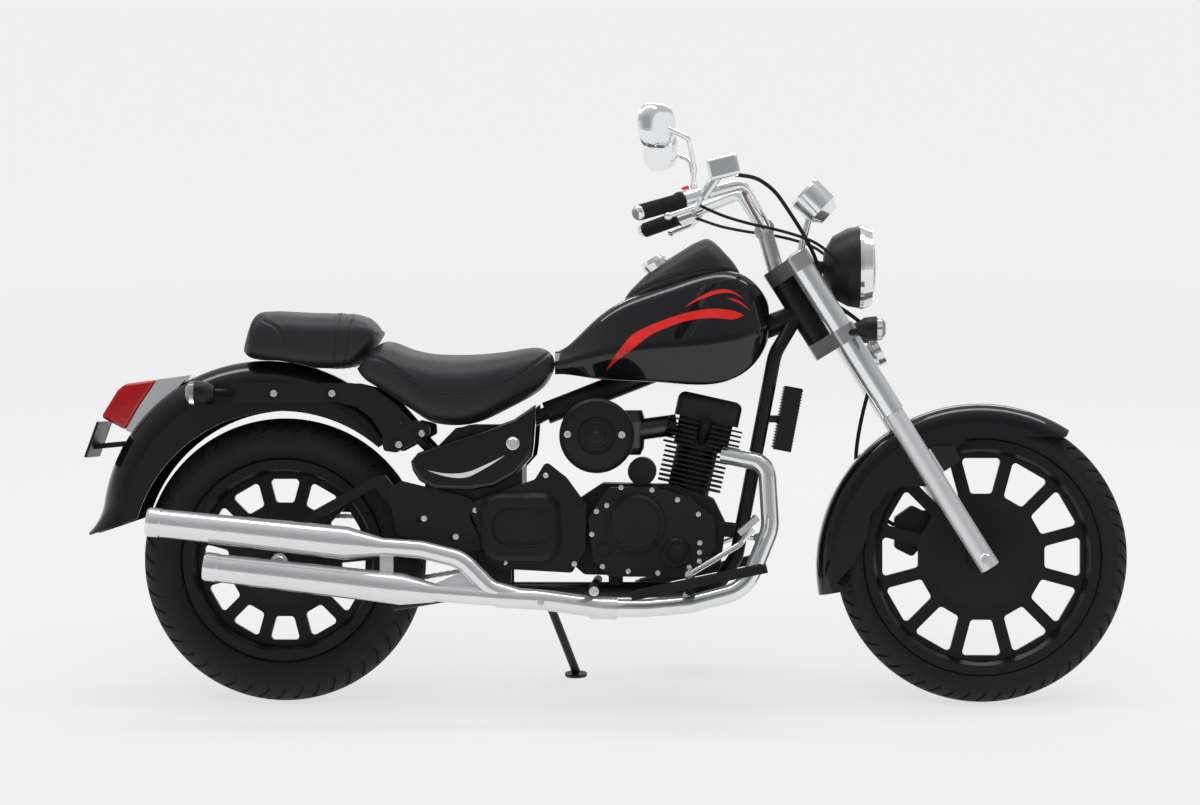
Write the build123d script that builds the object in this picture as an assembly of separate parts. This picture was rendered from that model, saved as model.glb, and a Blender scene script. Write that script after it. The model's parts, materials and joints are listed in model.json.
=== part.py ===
from build123d import *
import math
import os

# A cruiser motorcycle, parked on its side stand.
# Everything is drawn upright first: X forward from the rear axle, Y to the rider's left, Z up from
# the ground. At the end the whole bike leans onto its stand and moves to the middle of its box.

# Driving sizes of the whole bike
WHEELBASE = 1595.0
RAKE = 32.0
FORK_AHEAD = 50.0
LEAN = 9.5
TUBE_RADIUS = 15.0
PIN_CLEARANCE = 0.05
SEAT_GAP = 0.3
MOVING_GAP = 5.0
OVERRUN = 20.0

# Tyres
FRONT_TYRE_RADIUS = 332.0
FRONT_TYRE_WIDTH = 104.0
FRONT_BEAD_RADIUS = 256.0
REAR_TYRE_RADIUS = 324.0
REAR_TYRE_WIDTH = 140.0
REAR_BEAD_RADIUS = 218.0
BEAD_WIDTH_SHARE = 0.62
WIDEST_SHARE = 0.5
SHOULDER_WIDTH_SHARE = 0.86
SHOULDER_DROP_SHARE = 0.28

# Cast wheels, both with twelve windows
SPOKE_COUNT = 12
SPOKE_WIDTH = 28.0
WEB_THICKNESS = 18.0
RIM_THICKNESS = 9.0
FLANGE_HEIGHT = 12.0
HUB_RADIUS = 34.0
AXLE_RADIUS = 9.0
FRONT_HUB_LENGTH = 92.0
FRONT_WINDOW_INNER = 146.0
FRONT_WINDOW_OUTER = 230.0
REAR_HUB_LENGTH = 150.0
REAR_WINDOW_INNER = 132.0
REAR_WINDOW_OUTER = 188.0
WINDOW_CORNER = 9.0

REAR_AXLE = (0.0, 0.0, REAR_TYRE_RADIUS)
FRONT_AXLE = (WHEELBASE, 0.0, FRONT_TYRE_RADIUS)
BRAKE_DISC_RADIUS = 138.0
BRAKE_DISC_THICKNESS = 5.0
SPROCKET_RADIUS = 92.0
SPROCKET_THICKNESS = 7.0

# Steering head and fork, measured up the steering axis from the level of the front axle
HEAD_LOW = 615.0
HEAD_HIGH = 772.0
HEAD_RADIUS = 30.0
STEM_RADIUS = 14.0
FORK_SPREAD = 105.0
CLAMP_THICKNESS = 36.0
LOWER_CLAMP_HEIGHT = HEAD_LOW - CLAMP_THICKNESS - SEAT_GAP
UPPER_CLAMP_HEIGHT = HEAD_HIGH + SEAT_GAP
FORK_TOP = UPPER_CLAMP_HEIGHT + CLAMP_THICKNESS
FORK_COVER_LOW = 390.0
FORK_COVER_RADIUS = 27.0
FORK_SLIDER_RADIUS = 23.5
FORK_TUBE_RADIUS = 18.5

# Frame
CRADLE_SPREAD = 60.0
RAIL_HEIGHT = 255.0
BACKBONE_RADIUS = 26.0

# Handlebar
BAR_RADIUS = 12.7
GRIP_RADIUS = 17.5
BAR_HALF_WIDTH = 400.0

# Engine
CASE_HALF_WIDTH = 75.0
COVER_DEPTH = 55.0
CYLINDER_LEAN = 12.5
FIN_PITCH = 11.0
FIN_THICKNESS = 3.5

# Fenders
FENDER_WALL = 3.0
REAR_FENDER_HALF_WIDTH = 96.0
FRONT_FENDER_HALF_WIDTH = 70.0


# Places in the side view are in pixels, across and down, and are counted from an axle
PIXEL = 2.293
REAR_PIXEL = (284.5, 559.7)
FRONT_PIXEL = (980.1, 556.2)
REAR_ANCHOR = (REAR_PIXEL, (0.0, REAR_TYRE_RADIUS))
FRONT_ANCHOR = (FRONT_PIXEL, (WHEELBASE, FRONT_TYRE_RADIUS))


def seen(pixels, anchor=REAR_ANCHOR):
    """Side-view points in millimetres."""
    (anchor_across, anchor_down), (x, z) = anchor
    return [(x + (across - anchor_across) * PIXEL, z + (anchor_down - down) * PIXEL) for across, down in pixels]


def spot(pixel, y=0, anchor=REAR_ANCHOR):
    """A place in space: a side-view pixel, and the distance to the left."""
    x, z = seen([pixel], anchor)[0]
    return (x, y, z)


def routed(places, spread, anchor=REAR_ANCHOR):
    """Points of a pipe: pixel across, pixel down, and the share of the spread to the left."""
    return [spot((across, down), share * spread, anchor) for across, down, share in places]


def rod(start, end, radius):
    """A straight round bar between two points."""
    run = Vector(*end) - Vector(*start)
    bar = Cylinder(radius, run.length, align=(Align.CENTER, Align.CENTER, Align.MIN))
    return Plane(origin=start, z_dir=run).location * bar


def lathe(profile, start, along):
    """A turned piece from (radius, distance along the axis) points."""
    face = make_face(Polyline(*profile, close=True))
    return Plane(origin=start, z_dir=along).location * revolve(Plane.XZ * face, Axis.Z)


def pipe(points, radius, bends):
    """A bent tube, solid through, with one bend radius or one for each corner."""
    path = FilletPolyline(*points, radius=bends)
    return sweep(Plane(origin=path @ 0, z_dir=path % 0) * Circle(radius), path=path)


def side_plane(y):
    """The bike's side view at the distance y to the left of its middle."""
    return Plane(origin=(0, y, 0), x_dir=(1, 0, 0), z_dir=(0, -1, 0))


def slab(points, left, right, corner=0):
    """A flat piece with its outline in the side view, from y = left to y = right."""
    edge = FilletPolyline(*points, radius=corner, close=True) if corner else Polyline(*points, close=True)
    return extrude(side_plane(left) * make_face(edge), amount=left - right)


def plan_slab(points, low, high, corner=0):
    """A flat piece with its outline seen from above, from z = low to z = high."""
    edge = FilletPolyline(*points, radius=corner, close=True) if corner else Polyline(*points, close=True)
    return extrude(Plane.XY.offset(low) * make_face(edge), amount=high - low)


def placed(shares, corner, length, height):
    """Outline points from shares of a length and a height, counted from a corner."""
    return [(corner[0] + along * length, corner[1] + up * height) for along, up in shares]


def other_side(piece):
    return mirror(piece, Plane.XZ)


def main_body(piece):
    """The largest solid of a piece whose cuts leave crumbs."""
    return piece.solids().sort_by(SortBy.VOLUME)[-1]


def both(piece):
    return piece + mirror(piece, Plane.XZ)


def joined(pieces):
    """One node of solids that touch or stand apart."""
    whole = pieces[0]
    for piece in pieces[1:]:
        whole = whole + piece
    return whole


# The steering frame: X ahead of the axis, Y left, Z up the axis
rake = math.radians(RAKE)
FORK_FORWARD = Vector(math.cos(rake), 0, math.sin(rake))
FORK_UP = Vector(-math.sin(rake), 0, math.cos(rake))
STEER_FOOT = Vector(*FRONT_AXLE) - FORK_FORWARD * FORK_AHEAD
STEER_PLANE = Plane(origin=STEER_FOOT, x_dir=FORK_FORWARD, z_dir=FORK_UP)


def on_fork(piece):
    return STEER_PLANE.location * piece


nodes = {}

# Tyres: one arc across the tread, one down each side wall


def tyre(axle, radius, width, bead_radius):
    half = width / 2
    bead = half * BEAD_WIDTH_SHARE
    bead_top = bead_radius + FLANGE_HEIGHT
    height = radius - bead_radius
    widest = (half, bead_radius + height * WIDEST_SHARE)
    shoulder = (half * SHOULDER_WIDTH_SHARE, radius - height * SHOULDER_DROP_SHARE)
    section = make_face(
        Polyline((-bead, bead_top), (-bead, bead_radius), (bead, bead_radius), (bead, bead_top))
        + ThreePointArc((bead, bead_top), widest, shoulder)
        + ThreePointArc(shoulder, (0, radius), (-shoulder[0], shoulder[1]))
        + ThreePointArc((-shoulder[0], shoulder[1]), (-widest[0], widest[1]), (-bead, bead_top))
    )
    return Pos(*axle) * revolve(Plane.YZ * section, Axis.Y)


nodes["front_tyre"] = tyre(FRONT_AXLE, FRONT_TYRE_RADIUS, FRONT_TYRE_WIDTH, FRONT_BEAD_RADIUS)
nodes["rear_tyre"] = tyre(REAR_AXLE, REAR_TYRE_RADIUS, REAR_TYRE_WIDTH, REAR_BEAD_RADIUS)


def cast_wheel(axle, bead_radius, tyre_width, hub_length, window_inner, window_outer):
    """A cast wheel: hub, flat web with windows between the spokes, and a channel rim."""
    bead = tyre_width / 2 * BEAD_WIDTH_SHARE
    seat = bead_radius - SEAT_GAP
    flange_top = seat + FLANGE_HEIGHT
    well = seat - RIM_THICKNESS
    half_rim = bead + RIM_THICKNESS
    rim_profile = [
        (well - RIM_THICKNESS, -bead / 2),
        (well - RIM_THICKNESS, bead / 2),
        (well, half_rim),
        (flange_top, half_rim),
        (flange_top, bead + SEAT_GAP),
        (seat, bead + SEAT_GAP),
        (seat, -bead - SEAT_GAP),
        (flange_top, -bead - SEAT_GAP),
        (flange_top, -half_rim),
        (well, -half_rim),
    ]
    rim = lathe(rim_profile, (0, 0, 0), (0, 1, 0))
    half_web = WEB_THICKNESS / 2
    web_outer = well - RIM_THICKNESS / 2
    web_profile = [(AXLE_RADIUS, -half_web), (web_outer, -half_web), (web_outer, half_web), (AXLE_RADIUS, half_web)]
    web = lathe(web_profile, (0, 0, 0), (0, 1, 0))
    step = math.radians(360 / SPOKE_COUNT)
    window = []
    for radius, side in ((window_inner, -1), (window_outer, -1), (window_outer, 1), (window_inner, 1)):
        spread = step / 2 - SPOKE_WIDTH / 2 / radius
        window.append((radius * math.cos(side * spread), radius * math.sin(side * spread)))
    window = slab(window, half_web + OVERRUN, -half_web - OVERRUN, WINDOW_CORNER)
    for turn in range(SPOKE_COUNT):
        web = web - Rot(0, turn * 360 / SPOKE_COUNT, 0) * window
    hub = rod((0, -hub_length / 2, 0), (0, hub_length / 2, 0), HUB_RADIUS)
    ring = window_inner - SPOKE_WIDTH
    dish = lathe([(0, -half_web * 2), (ring, -half_web), (ring, half_web), (0, half_web * 2)], (0, 0, 0), (0, 1, 0))
    bore = rod((0, -hub_length, 0), (0, hub_length, 0), AXLE_RADIUS + PIN_CLEARANCE)
    return Pos(*axle) * (rim + web + dish + hub - bore)


nodes["front_wheel"] = cast_wheel(
    FRONT_AXLE, FRONT_BEAD_RADIUS, FRONT_TYRE_WIDTH, FRONT_HUB_LENGTH, FRONT_WINDOW_INNER, FRONT_WINDOW_OUTER
)
DRUM_RADIUS = 88.0
SPROCKET_CENTRE = 84.0
rear_wheel = cast_wheel(
    REAR_AXLE, REAR_BEAD_RADIUS, REAR_TYRE_WIDTH, REAR_HUB_LENGTH, REAR_WINDOW_INNER, REAR_WINDOW_OUTER
)

# The brake disc bolts to the left end of the front hub
disc_face = FRONT_HUB_LENGTH / 2
disc_profile = [
    (AXLE_RADIUS * 2, disc_face),
    (BRAKE_DISC_RADIUS, disc_face),
    (BRAKE_DISC_RADIUS, disc_face + BRAKE_DISC_THICKNESS),
    (AXLE_RADIUS * 2, disc_face + BRAKE_DISC_THICKNESS),
]
brake_disc = lathe(disc_profile, (0, 0, 0), (0, 1, 0))
DISC_HOLE_RADIUS = 16.0
DISC_HOLE_CIRCLE = 82.0
DISC_HOLE_COUNT = 8
for turn in range(DISC_HOLE_COUNT):
    hole = rod((DISC_HOLE_CIRCLE, 0, 0), (DISC_HOLE_CIRCLE, disc_face + OVERRUN, 0), DISC_HOLE_RADIUS)
    brake_disc = brake_disc - Rot(0, turn * 360 / DISC_HOLE_COUNT, 0) * hole
nodes["brake_disc"] = Pos(*FRONT_AXLE) * brake_disc

# Rear sprocket, with teeth, bolted to the left side of the rear hub
TOOTH_COUNT = 38
TOOTH_DEPTH = 6.0
CHAIN_PITCH = 12.7
sprocket_left = SPROCKET_CENTRE + SPROCKET_THICKNESS / 2
sprocket_right = SPROCKET_CENTRE - SPROCKET_THICKNESS / 2


def sprocket(radius, teeth):
    points = []
    for tooth in range(teeth):
        for share, reach in ((0.15, 0), (0.4, 1), (0.6, 1), (0.85, 0)):
            angle = math.radians((tooth + share) * 360 / teeth)
            reached = radius + (reach - 1) * TOOTH_DEPTH
            points.append((reached * math.cos(angle), reached * math.sin(angle)))
    return slab(points, sprocket_left, sprocket_right)


carrier = rod((0, REAR_HUB_LENGTH / 2 - OVERRUN, 0), (0, sprocket_right, 0), HUB_RADIUS)
rear_sprocket = sprocket(SPROCKET_RADIUS, TOOTH_COUNT) + carrier
rear_sprocket = rear_sprocket - rod((0, 0, 0), (0, sprocket_left + OVERRUN, 0), AXLE_RADIUS + PIN_CLEARANCE)
nodes["rear_wheel"] = rear_wheel + Pos(*REAR_AXLE) * rear_sprocket

# Fork, steering stem and clamps, drawn in the steering frame
FORK_X = FORK_AHEAD
CLAMP_HALF_DEPTH = 30.0
CLAMP_CORNER = 24.0


def clamp(height):
    reach = FORK_SPREAD + FORK_COVER_RADIUS
    points = [
        (-CLAMP_HALF_DEPTH, -CLAMP_HALF_DEPTH * 1.3),
        (FORK_X - CLAMP_HALF_DEPTH * 0.6, -reach),
        (FORK_X + CLAMP_HALF_DEPTH, -reach),
        (FORK_X + CLAMP_HALF_DEPTH, reach),
        (FORK_X - CLAMP_HALF_DEPTH * 0.6, reach),
        (-CLAMP_HALF_DEPTH, CLAMP_HALF_DEPTH * 1.3),
    ]
    return plan_slab(points, height, height + CLAMP_THICKNESS, CLAMP_CORNER / 2)


stem = rod((0, 0, LOWER_CLAMP_HEIGHT), (0, 0, UPPER_CLAMP_HEIGHT + CLAMP_THICKNESS / 2), STEM_RADIUS - PIN_CLEARANCE)
clamps = clamp(LOWER_CLAMP_HEIGHT) + clamp(UPPER_CLAMP_HEIGHT) + stem
fork_bores = both(rod((FORK_X, FORK_SPREAD, 0), (FORK_X, FORK_SPREAD, FORK_TOP + OVERRUN), FORK_TUBE_RADIUS))
clamps = clamps - fork_bores
nodes["fork_clamps"] = on_fork(clamps)

slider_top = FORK_COVER_LOW - SEAT_GAP
axle_drop = FORK_SLIDER_RADIUS
slider = rod((FORK_X, FORK_SPREAD, -axle_drop), (FORK_X, FORK_SPREAD, slider_top), FORK_SLIDER_RADIUS)
slider = slider - rod((FORK_X, 0, 0), (FORK_X, FORK_SPREAD * 2, 0), AXLE_RADIUS)
nodes["fork_sliders"] = on_fork(both(slider))
tube = rod((FORK_X, FORK_SPREAD, slider_top), (FORK_X, FORK_SPREAD, FORK_TOP), FORK_TUBE_RADIUS)
cover_high = LOWER_CLAMP_HEIGHT
upper_cover_low = LOWER_CLAMP_HEIGHT + CLAMP_THICKNESS
fork_cover = tube + rod((FORK_X, FORK_SPREAD, FORK_COVER_LOW), (FORK_X, FORK_SPREAD, cover_high), FORK_COVER_RADIUS)
fork_cover = fork_cover + rod(
    (FORK_X, FORK_SPREAD, upper_cover_low), (FORK_X, FORK_SPREAD, UPPER_CLAMP_HEIGHT), FORK_COVER_RADIUS
)
nodes["fork_covers"] = on_fork(both(fork_cover))

axle_end = FORK_SPREAD + FORK_SLIDER_RADIUS
SPACER_RADIUS = 15.0
front_axle = rod((0, -axle_end, 0), (0, axle_end, 0), AXLE_RADIUS)
spacer_start = disc_face + BRAKE_DISC_THICKNESS + SEAT_GAP
spacer_end = FORK_SPREAD - FORK_SLIDER_RADIUS
front_spacer = both(rod((0, spacer_start, 0), (0, spacer_end, 0), SPACER_RADIUS))
nodes["front_axle"] = Pos(*FRONT_AXLE) * (front_axle + front_spacer)

# Frame: steering head, backbone, two cradle tubes and their cross pieces
head_low = STEER_FOOT + FORK_UP * HEAD_LOW
head_high = STEER_FOOT + FORK_UP * HEAD_HIGH
head_bore = rod(head_low - FORK_UP * OVERRUN, head_high + FORK_UP * OVERRUN, STEM_RADIUS)
head_tube = rod(head_low, head_high, HEAD_RADIUS)


def beside_head(height_share, setback):
    """A side-view point behind the steering axis, at a share of the head's height."""
    height = HEAD_LOW + (HEAD_HIGH - HEAD_LOW) * height_share
    place = STEER_FOOT + FORK_UP * height - FORK_FORWARD * setback
    return (place.X, place.Z)


def across_bike(place, y):
    """A side-view point set at y to the left."""
    return (place[0], y, place[1])


BACKBONE_HEIGHT_SHARE = 0.48
BACKBONE_SETBACK = 10.6
BACKBONE_REAR_PIXEL = (546.2, 413.2)
backbone_front = beside_head(BACKBONE_HEIGHT_SHARE, BACKBONE_SETBACK)
backbone_rear = seen([BACKBONE_REAR_PIXEL])[0]
backbone = rod(across_bike(backbone_front, 0), across_bike(backbone_rear, 0), BACKBONE_RADIUS)
DOWN_TUBE_BEND = 60.0
CRADLE_TOP_HEIGHT_SHARE = 0.42
DOWN_TUBE_HEIGHT_SHARE = 0.18
DOWN_TUBE_SETBACK = 103.5
DOWN_TUBE_FOOT_X = 1036.0
DOWN_TUBE_FOOT_RISE = 77.0
RAIL_FRONT_X = 985.0
RAIL_REAR_X = 470.0
REAR_TUBE_FOOT_X = 400.0
REAR_TUBE_FOOT_RISE = 95.0
REAR_TUBE_BEND_PIXEL = (467.7, 456.8)
cradle_top = beside_head(CRADLE_TOP_HEIGHT_SHARE, HEAD_RADIUS - PIN_CLEARANCE)
down_tube_top = beside_head(DOWN_TUBE_HEIGHT_SHARE, DOWN_TUBE_SETBACK)
down_tube_foot = (DOWN_TUBE_FOOT_X, RAIL_HEIGHT + DOWN_TUBE_FOOT_RISE)
cradle_points = [
    across_bike(cradle_top, CRADLE_SPREAD / 4),
    across_bike(down_tube_top, CRADLE_SPREAD),
    across_bike(down_tube_foot, CRADLE_SPREAD),
    (RAIL_FRONT_X, CRADLE_SPREAD, RAIL_HEIGHT),
    (RAIL_REAR_X, CRADLE_SPREAD, RAIL_HEIGHT),
    (REAR_TUBE_FOOT_X, CRADLE_SPREAD, RAIL_HEIGHT + REAR_TUBE_FOOT_RISE),
    spot(REAR_TUBE_BEND_PIXEL, CRADLE_SPREAD),
    across_bike(backbone_rear, CRADLE_SPREAD / 4),
]
cradle = pipe(cradle_points, TUBE_RADIUS, DOWN_TUBE_BEND)


def on_down_tube(z):
    """The side-view point of the down tubes at a height."""
    share = (z - down_tube_foot[1]) / (down_tube_top[1] - down_tube_foot[1])
    return (down_tube_foot[0] + (down_tube_top[0] - down_tube_foot[0]) * share, z)


CROSS_BAR_RADIUS = 12.0
REAR_CROSS_PIXEL = (462.4, 509.1)
FRONT_CROSS_HEIGHT = 520.0
cross_places = [(RAIL_REAR_X, RAIL_HEIGHT), seen([REAR_CROSS_PIXEL])[0], on_down_tube(FRONT_CROSS_HEIGHT)]
cross_bars = [
    rod(across_bike(place, -CRADLE_SPREAD), across_bike(place, CRADLE_SPREAD), CROSS_BAR_RADIUS) for place in cross_places
]
frame = head_tube + backbone + both(cradle) + joined(cross_bars) - head_bore

# Swinging arm with its pivot across the cradle, and the rear axle
PIVOT = spot((493.8, 538.8))
SWINGARM_SPREAD = 105.0
SWINGARM_HALF_HEIGHT = 17.0
SWINGARM_HALF_WIDTH = 9.0
PIVOT_RADIUS = 16.0


def flat_arm(start, end, half_height, left, right):
    """A bar of even height between two side-view points."""
    run = Vector(end[0] - start[0], 0, end[1] - start[1])
    across = Vector(-run.Z, 0, run.X) * (half_height / run.length)
    points = [
        (start[0] + across.X, start[1] + across.Z),
        (end[0] + across.X, end[1] + across.Z),
        (end[0] - across.X, end[1] - across.Z),
        (start[0] - across.X, start[1] - across.Z),
    ]
    return slab(points, left, right)


arm_left = SWINGARM_SPREAD + SWINGARM_HALF_WIDTH
arm_right = SWINGARM_SPREAD - SWINGARM_HALF_WIDTH
pivot_xz = (PIVOT[0], PIVOT[2])
axle_xz = (REAR_AXLE[0], REAR_AXLE[2])
arm = flat_arm(pivot_xz, axle_xz, SWINGARM_HALF_HEIGHT, arm_left, arm_right)
arm = arm + rod((PIVOT[0], arm_right, PIVOT[2]), (PIVOT[0], arm_left, PIVOT[2]), SWINGARM_HALF_HEIGHT * 1.6)
arm = arm + rod((0, arm_right, REAR_AXLE[2]), (0, arm_left, REAR_AXLE[2]), SWINGARM_HALF_HEIGHT * 1.4)
STAY_PIXELS = [(312.8, 517.8), (383.1, 478.6), (403.1, 505.2)]
STAY_REAR, STAY_PEAK, STAY_FOOT = seen(STAY_PIXELS)
stay_height = SWINGARM_HALF_HEIGHT * 0.65
stay = flat_arm(axle_xz, STAY_REAR, stay_height, arm_left, arm_right)
stay = stay + flat_arm(STAY_REAR, STAY_PEAK, stay_height, arm_left, arm_right)
stay = stay + flat_arm(STAY_PEAK, STAY_FOOT, SWINGARM_HALF_HEIGHT, arm_left, arm_right)
stay = stay + flat_arm(STAY_FOOT, pivot_xz, SWINGARM_HALF_HEIGHT, arm_left, arm_right)
for joint_place in (STAY_REAR, STAY_PEAK, STAY_FOOT):
    stay = stay + rod(
        (joint_place[0], arm_right, joint_place[1]), (joint_place[0], arm_left, joint_place[1]), stay_height
    )
arms = both(arm + stay)
arms = arms + rod((PIVOT[0], -arm_right, PIVOT[2]), (PIVOT[0], arm_right, PIVOT[2]), PIVOT_RADIUS)
axle_hole = rod((0, -arm_left * 2, REAR_AXLE[2]), (0, arm_left * 2, REAR_AXLE[2]), AXLE_RADIUS)
nodes["swingarm"] = arms - axle_hole
rear_axle_end = arm_left + AXLE_RADIUS
rear_axle = rod((0, -rear_axle_end, 0), (0, rear_axle_end, 0), AXLE_RADIUS)
left_spacer = rod((0, sprocket_left + SEAT_GAP, 0), (0, arm_right, 0), SPACER_RADIUS)
right_spacer = rod((0, -arm_right, 0), (0, -REAR_HUB_LENGTH / 2 - SEAT_GAP, 0), SPACER_RADIUS)
nodes["rear_axle"] = Pos(*REAR_AXLE) * (rear_axle + left_spacer + right_spacer)
frame = frame - rod((PIVOT[0], -arm_left, PIVOT[2]), (PIVOT[0], arm_left, PIVOT[2]), PIVOT_RADIUS + SEAT_GAP)

# Pivot plates tie the cradle to the pivot
PLATE_SPAN = 130.0
PLATE_RISE = 175.0
PLATE_HALF_THICKNESS = 6.0
PLATE_SHARES = [(0.0, 0.43), (1.0, 0.0), (1.0, 0.83), (0.19, 1.0)]
plate_points = placed(PLATE_SHARES, (PIVOT[0] - PLATE_SPAN * 2 / 3, RAIL_HEIGHT), PLATE_SPAN, PLATE_RISE)
pivot_plate = slab(plate_points, CRADLE_SPREAD + PLATE_HALF_THICKNESS, CRADLE_SPREAD - PLATE_HALF_THICKNESS)
pivot_plate = pivot_plate - rod((PIVOT[0], 0, PIVOT[2]), (PIVOT[0], arm_left, PIVOT[2]), PIVOT_RADIUS + SEAT_GAP)
frame = frame + both(pivot_plate)

# Engine: crankcase, two side covers, a leaning finned cylinder and its head
CASE_CORNER = seen([(563.6, 575.0)])[0]
CASE_LENGTH = 372.0
CASE_HEIGHT = 212.0
CASE_SHARES = [
    (0.0, 0.232), (0.134, 0.022), (0.806, 0.0), (0.968, 0.145), (1.0, 0.561),
    (0.927, 0.825), (0.699, 0.98), (0.242, 1.0), (0.054, 0.781),
]
case_points = placed(CASE_SHARES, CASE_CORNER, CASE_LENGTH, CASE_HEIGHT)
CASE_ROUND = 14.0
crankcase = slab(case_points, CASE_HALF_WIDTH, -CASE_HALF_WIDTH, CASE_ROUND)
STARTER_PLACE = seen([(642.5, 470.7)])[0]
STARTER_RADIUS = 32.0
crankcase = crankcase + rod(
    (STARTER_PLACE[0], -CASE_HALF_WIDTH - CASE_ROUND, STARTER_PLACE[1]),
    (STARTER_PLACE[0], CASE_HALF_WIDTH / 2, STARTER_PLACE[1]), STARTER_RADIUS,
)

COVER_CORNER = seen([(589.8, 574.5)])[0]
COVER_LENGTH = 290.0
COVER_HEIGHT = 205.0
COVER_SHARES = [
    (0.0, 0.651), (0.041, 0.186), (0.155, 0.009), (0.776, 0.0), (0.914, 0.13),
    (1.0, 0.349), (0.983, 0.651), (0.793, 0.884), (0.5, 1.0), (0.155, 0.986),
]
cover_points = placed(COVER_SHARES, COVER_CORNER, COVER_LENGTH, COVER_HEIGHT)
CLUTCH_CENTRE = seen([(636.9, 520.9)])[0]
CLUTCH_RADIUS = 65.0
CLUTCH_DOME = 14.0
FILTER_CENTRE = seen([(676.1, 550.1)])[0]
FILTER_RADIUS = 32.0
cover_face = -CASE_HALF_WIDTH - COVER_DEPTH
right_cover = slab(cover_points, -CASE_HALF_WIDTH, cover_face, CASE_ROUND)


def boss(centre, radius, face, height, side):
    """A round cap standing on a side face, with a chamfered rim."""
    rim = radius * 0.88
    profile = [(0, 0), (radius, 0), (radius, height * 0.6), (rim, height), (0, height)]
    return lathe(profile, (centre[0], face, centre[1]), (0, side, 0))


right_cover = right_cover + boss(CLUTCH_CENTRE, CLUTCH_RADIUS, cover_face, CLUTCH_DOME, -1)
right_cover = right_cover + boss(FILTER_CENTRE, FILTER_RADIUS, cover_face, CLUTCH_DOME * 0.7, -1)
nodes["right_engine_cover"] = right_cover
ALTERNATOR_CENTRE = seen([(633.4, 524.4)])[0]
ALTERNATOR_RADIUS = 78.0
left_cover = slab(cover_points, CASE_HALF_WIDTH + COVER_DEPTH, CASE_HALF_WIDTH, CASE_ROUND)
left_cover = left_cover + boss(ALTERNATOR_CENTRE, ALTERNATOR_RADIUS, -cover_face, CLUTCH_DOME, 1)
nodes["left_engine_cover"] = left_cover

CYLINDER_FOOT = seen([(687.5, 492.5)])[0]
CYLINDER_FIN_COUNT = 8
HEAD_FIN_COUNT = 6
BARREL_RADIUS = 48.0
CYLINDER_FIN_SIZE = (146.0, 150.0)
HEAD_FIN_SIZE = (172.0, 170.0)
FIN_CORNER = 22.0
HEAD_COVER_HEIGHT = 56.0
lean = math.radians(CYLINDER_LEAN)
CYLINDER_PLANE = Plane(
    origin=(CYLINDER_FOOT[0], 0, CYLINDER_FOOT[1]),
    x_dir=(math.cos(lean), 0, -math.sin(lean)),
    z_dir=(math.sin(lean), 0, math.cos(lean)),
)
BARREL_FOOT = 16.0
barrel_top = BARREL_FOOT + CYLINDER_FIN_COUNT * FIN_PITCH
head_top = barrel_top + HEAD_FIN_COUNT * FIN_PITCH
cylinder = Cylinder(BARREL_RADIUS, head_top - FIN_THICKNESS, align=(Align.CENTER, Align.CENTER, Align.MIN))
for fin in range(CYLINDER_FIN_COUNT):
    plate = extrude(RectangleRounded(*CYLINDER_FIN_SIZE, FIN_CORNER), amount=FIN_THICKNESS)
    cylinder = cylinder + Pos(0, 0, BARREL_FOOT + fin * FIN_PITCH) * plate
HEAD_AHEAD = 6.0
for fin in range(HEAD_FIN_COUNT):
    plate = extrude(RectangleRounded(*HEAD_FIN_SIZE, FIN_CORNER), amount=FIN_THICKNESS)
    cylinder = cylinder + Pos(HEAD_AHEAD, 0, barrel_top + fin * FIN_PITCH) * plate
PLUG_RADIUS = 13.0
PLUG_RECESS = 30.0
head_core = extrude(RectangleRounded(HEAD_FIN_SIZE[0] * 0.72, HEAD_FIN_SIZE[1] * 0.72, FIN_CORNER), amount=head_top - barrel_top)
cylinder = cylinder + Pos(HEAD_AHEAD, 0, barrel_top) * head_core
rocker = extrude(RectangleRounded(HEAD_FIN_SIZE[0] * 0.86, HEAD_FIN_SIZE[1] * 0.8, FIN_CORNER), amount=HEAD_COVER_HEIGHT)
rocker = fillet(rocker.faces().sort_by(Axis.Z)[-1].edges(), FIN_CORNER * 0.8)
head_half = HEAD_FIN_SIZE[1] / 2
recess = Pos(HEAD_AHEAD, -head_half, (barrel_top + head_top) / 2) * Box(PLUG_RECESS, PLUG_RECESS * 2, head_top - barrel_top)
plug = rod((HEAD_AHEAD, -head_half * 0.5, barrel_top + PLUG_RADIUS), (HEAD_AHEAD, -head_half, head_top), PLUG_RADIUS)
cylinder = cylinder - recess + plug
rocker = Pos(HEAD_AHEAD, 0, head_top) * rocker
cylinder = CYLINDER_PLANE.location * (cylinder + rocker) - crankcase
nodes["cylinder_and_head"] = cylinder
nodes["crankcase"] = crankcase

# Engine lugs on the frame reach the case
LUG_HALF_WIDTH = 5.0
FRONT_LUG_HEIGHT = 390.0
FRONT_LUG_PIXEL = (703.2, 526.6)
LOW_LUG_PIXEL = (615.9, 557.1)
low_lug_end = seen([LOW_LUG_PIXEL])[0]
lug_specs = [
    (on_down_tube(FRONT_LUG_HEIGHT), seen([FRONT_LUG_PIXEL])[0]),
    ((low_lug_end[0], RAIL_HEIGHT), low_lug_end),
]
for start, end in lug_specs:
    lug = flat_arm(start, end, TUBE_RADIUS, CRADLE_SPREAD + LUG_HALF_WIDTH, CRADLE_SPREAD - LUG_HALF_WIDTH)
    frame = frame + both(lug - crankcase)

# Fuel tank: six-sided rounded sections from rear to front
TANK_SECTION_SHARES = [(-0.72, 0.0), (0.72, 0.0), (1.0, 0.36), (0.56, 1.0), (-0.56, 1.0), (-1.0, 0.36)]
TANK_ROUND_SHARES = [0.1, 0.1, 0.3, 0.34, 0.34, 0.3]
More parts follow.
